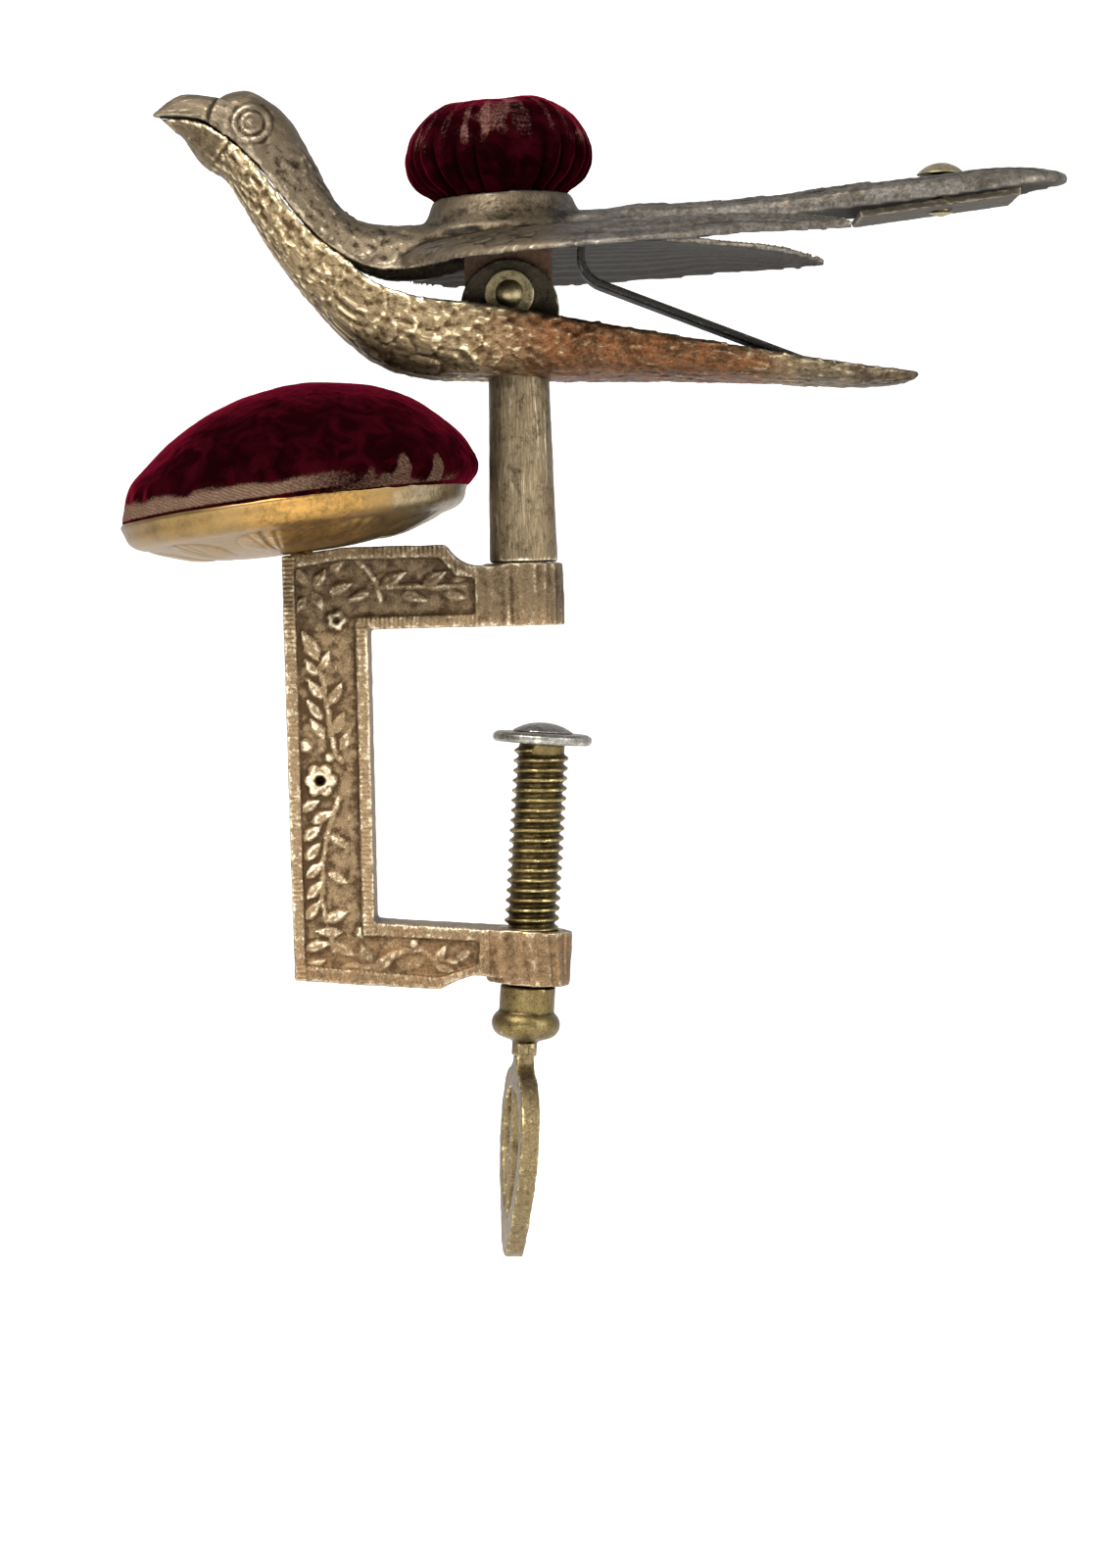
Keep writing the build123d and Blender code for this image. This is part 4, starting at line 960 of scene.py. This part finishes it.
def make_large_cushion():
    """Big velvet dome that leans towards the post, drawn down over the cup's rim."""
    angle = np.linspace(0, tau, 440, endpoint=False)
    t = np.linspace(0, 1, 180)[:, None]
    left_s = smooth_curve(t, (-16.2, -17.6, -17.4, -16.4, -14.2, -11.0, -6.2, -1.4, 2.78))
    left_h = smooth_curve(t, (-1.3, 0.2, 1.5, 4.1, 6.1, 8.4, 10.7, 11.95, 12.15))
    right_s = smooth_curve(t, (16.2, 18.2, 19.1, 18.9, 17.8, 14.3, 10.2, 6.0, 2.82))
    right_h = smooth_curve(t, (-1.3, -0.1, 1.2, 2.7, 5.0, 8.35, 10.7, 11.9, 12.15))
    half_depth = smooth_curve(t, (16.2, 17.8, 18.1, 17.5, 15.9, 12.7, 8.4, 4.1, 0.02))
    height = left_h + (right_h - left_h) * (0.5 + 0.5 * np.cos(angle))
    low = np.exp(-(((height - 1.9) / 1.7) ** 2))
    puckers = np.sin(angle * 27 + 0.9 * np.sin(angle * 5)) * (0.5 + 0.5 * np.sin(angle * 7 + 1))
    swell = 1 + 0.010 * puckers * low
    across = (left_s + right_s) / 2 + (right_s - left_s) / 2 * np.cos(angle) * swell
    rows = np.stack([across, half_depth * np.sin(angle) * swell, height], axis=-1)
    flat = rows.reshape(-1, 3)
    rows[..., 2] += 0.25 * fractal(flat / 7.0, 2, 71).reshape(height.shape) * np.clip(height / 6, 0, 1)
    rows *= (1 + 0.0022 * fractal(flat / 0.7, 2, 77).reshape(height.shape))[..., None]
    made = grid_mesh("large_pincushion", tilted(rows, (-23.35, 12.9), 6.5), caps=(True, True))
    worn = fractal(flat / (5.0, 5.0, 2.0), 3, 81).reshape(height.shape)
    away = smoothstep(0.75, -0.2, np.cos(angle))
    band = smoothstep(2.7, 1.7, height + 0.5 * worn) * away * smoothstep(0.35, 0.7, height)
    reach = 1.3 + 2.6 * smoothstep(-0.1, 0.8, puckers) + 0.7 * worn
    streaks = smoothstep(reach, reach - 1.2, height) * smoothstep(0.1, -0.1, -height) * (1 - away)
    streaks *= smoothstep(0.97, 0.85, np.cos(angle))
    crown = 0.6 * smoothstep(0.2, 0.9, worn) * smoothstep(9.8, 11.6, height)
    bald = np.clip(np.maximum(np.maximum(band, 0.7 * streaks), crown), 0, 1)
    write_layer(made.data, "bald", bald.ravel())
    write_layer(made.data, "pleat_shade", 0 * bald.ravel())
    finish_piece(made, velvet_cloth, "clamp", "velvet", "large_cushion_velvet")


def make_back_cushion():
    """Small tomato-round velvet cushion, gathered into pleats at the collar."""
    angle = np.linspace(0, tau, 440, endpoint=False)
    t = np.linspace(0, 1, 160)[:, None]
    radius = smooth_curve(t, (4.2, 5.9, 6.9, 8.4, 9.35, 9.3, 8.2, 6.2, 3.4, 0.02)) + 0 * angle
    height = smooth_curve(t, (-0.8, -0.6, 0.4, 1.5, 3.3, 5.3, 7.5, 9.1, 9.95, 10.1)) + 0 * angle
    phase = angle * 11 + 1.1 * np.sin(angle * 3 + 0.7) + 0.5 * np.sin(angle * 7)
    ridge = np.abs(np.sin(phase)) ** 0.7 - 0.75
    each = 0.75 + 0.45 * np.sin(angle * 4 + 2) * np.sin(angle * 9)
    deep = 0.13 * np.exp(-(((height - 0.6) / 2.3) ** 2)) + 0.05 * np.exp(-(((height - 4.0) / 2.2) ** 2))
    soft = 0.018 * np.sin(angle * 5 + 0.4) * smoothstep(9.5, 6.0, height)
    radius = radius * (1 + deep * ridge * each + soft)
    rows = np.stack([radius * np.cos(angle), radius * np.sin(angle), height], axis=-1)
    flat = rows.reshape(-1, 3)
    rows[..., 2] += 0.35 * fractal(flat / 4.5, 2, 91).reshape(height.shape) * smoothstep(3, 8, height)
    rows *= (1 + 0.004 * fractal(flat / 0.7, 2, 97).reshape(height.shape))[..., None]
    made = grid_mesh("back_pincushion", tilted(rows, (-1.4, 43.65), 2.1), caps=(True, True))
    worn = fractal(flat / (2.8, 2.8, 3.6), 3, 95).reshape(height.shape)
    upper = smoothstep(3.2, 6.5, height)
    crest = 0.35 * smoothstep(0.05, 0.2, ridge) * smoothstep(2.0, 3.5, height)
    bald = np.clip(0.5 * smoothstep(-0.1, 0.7, worn) * upper + crest * upper, 0, 0.62)
    write_layer(made.data, "bald", bald.ravel())
    # painted shade: the deep pleat valleys low on the cushion are marked for the near black colour
    shaded_valley = smoothstep(0.1, -0.4, ridge) * smoothstep(0.35, 0.8, each) * smoothstep(7.5, 4.0, height)
    write_layer(made.data, "pleat_shade", np.clip(shaded_valley, 0, 1).ravel())
    finish_piece(made, gathered_velvet, "bird_upper", "velvet", "back_cushion_velvet")


make_cup()
make_large_cushion()
make_back_cushion()


def hidden_soft(node, name, material, body, slot, voxel=0.3, inset=0.05):
    """Filling, card or thread inside a cushion: fibrous, uneven, and out of sight."""
    made = recast(node, name, voxel, 2)
    places = vertex_array(made.data)
    places -= vertex_array(made.data, "normal") * (inset + 0.04 * fractal(places / 0.8, 2, 99))[:, None]
    set_places(made.data, places)
    return finish_piece(made, material, body, slot, node)


hidden_soft("large_cushion_stuffing", "large_filling", wool, "clamp", "stuffing", 0.5, 1.3)
hidden_soft("back_cushion_stuffing", "back_filling", wool, "bird_upper", "stuffing", 0.4, 0.9)
hidden_soft("large_cushion_card", "large_card", pasteboard, "clamp", "card", 0.2)
hidden_soft("back_cushion_card", "back_card", pasteboard, "bird_upper", "card", 0.15)
hidden_soft("gathering_thread", "drawn_thread", linen, "bird_upper", "thread", 0.08)
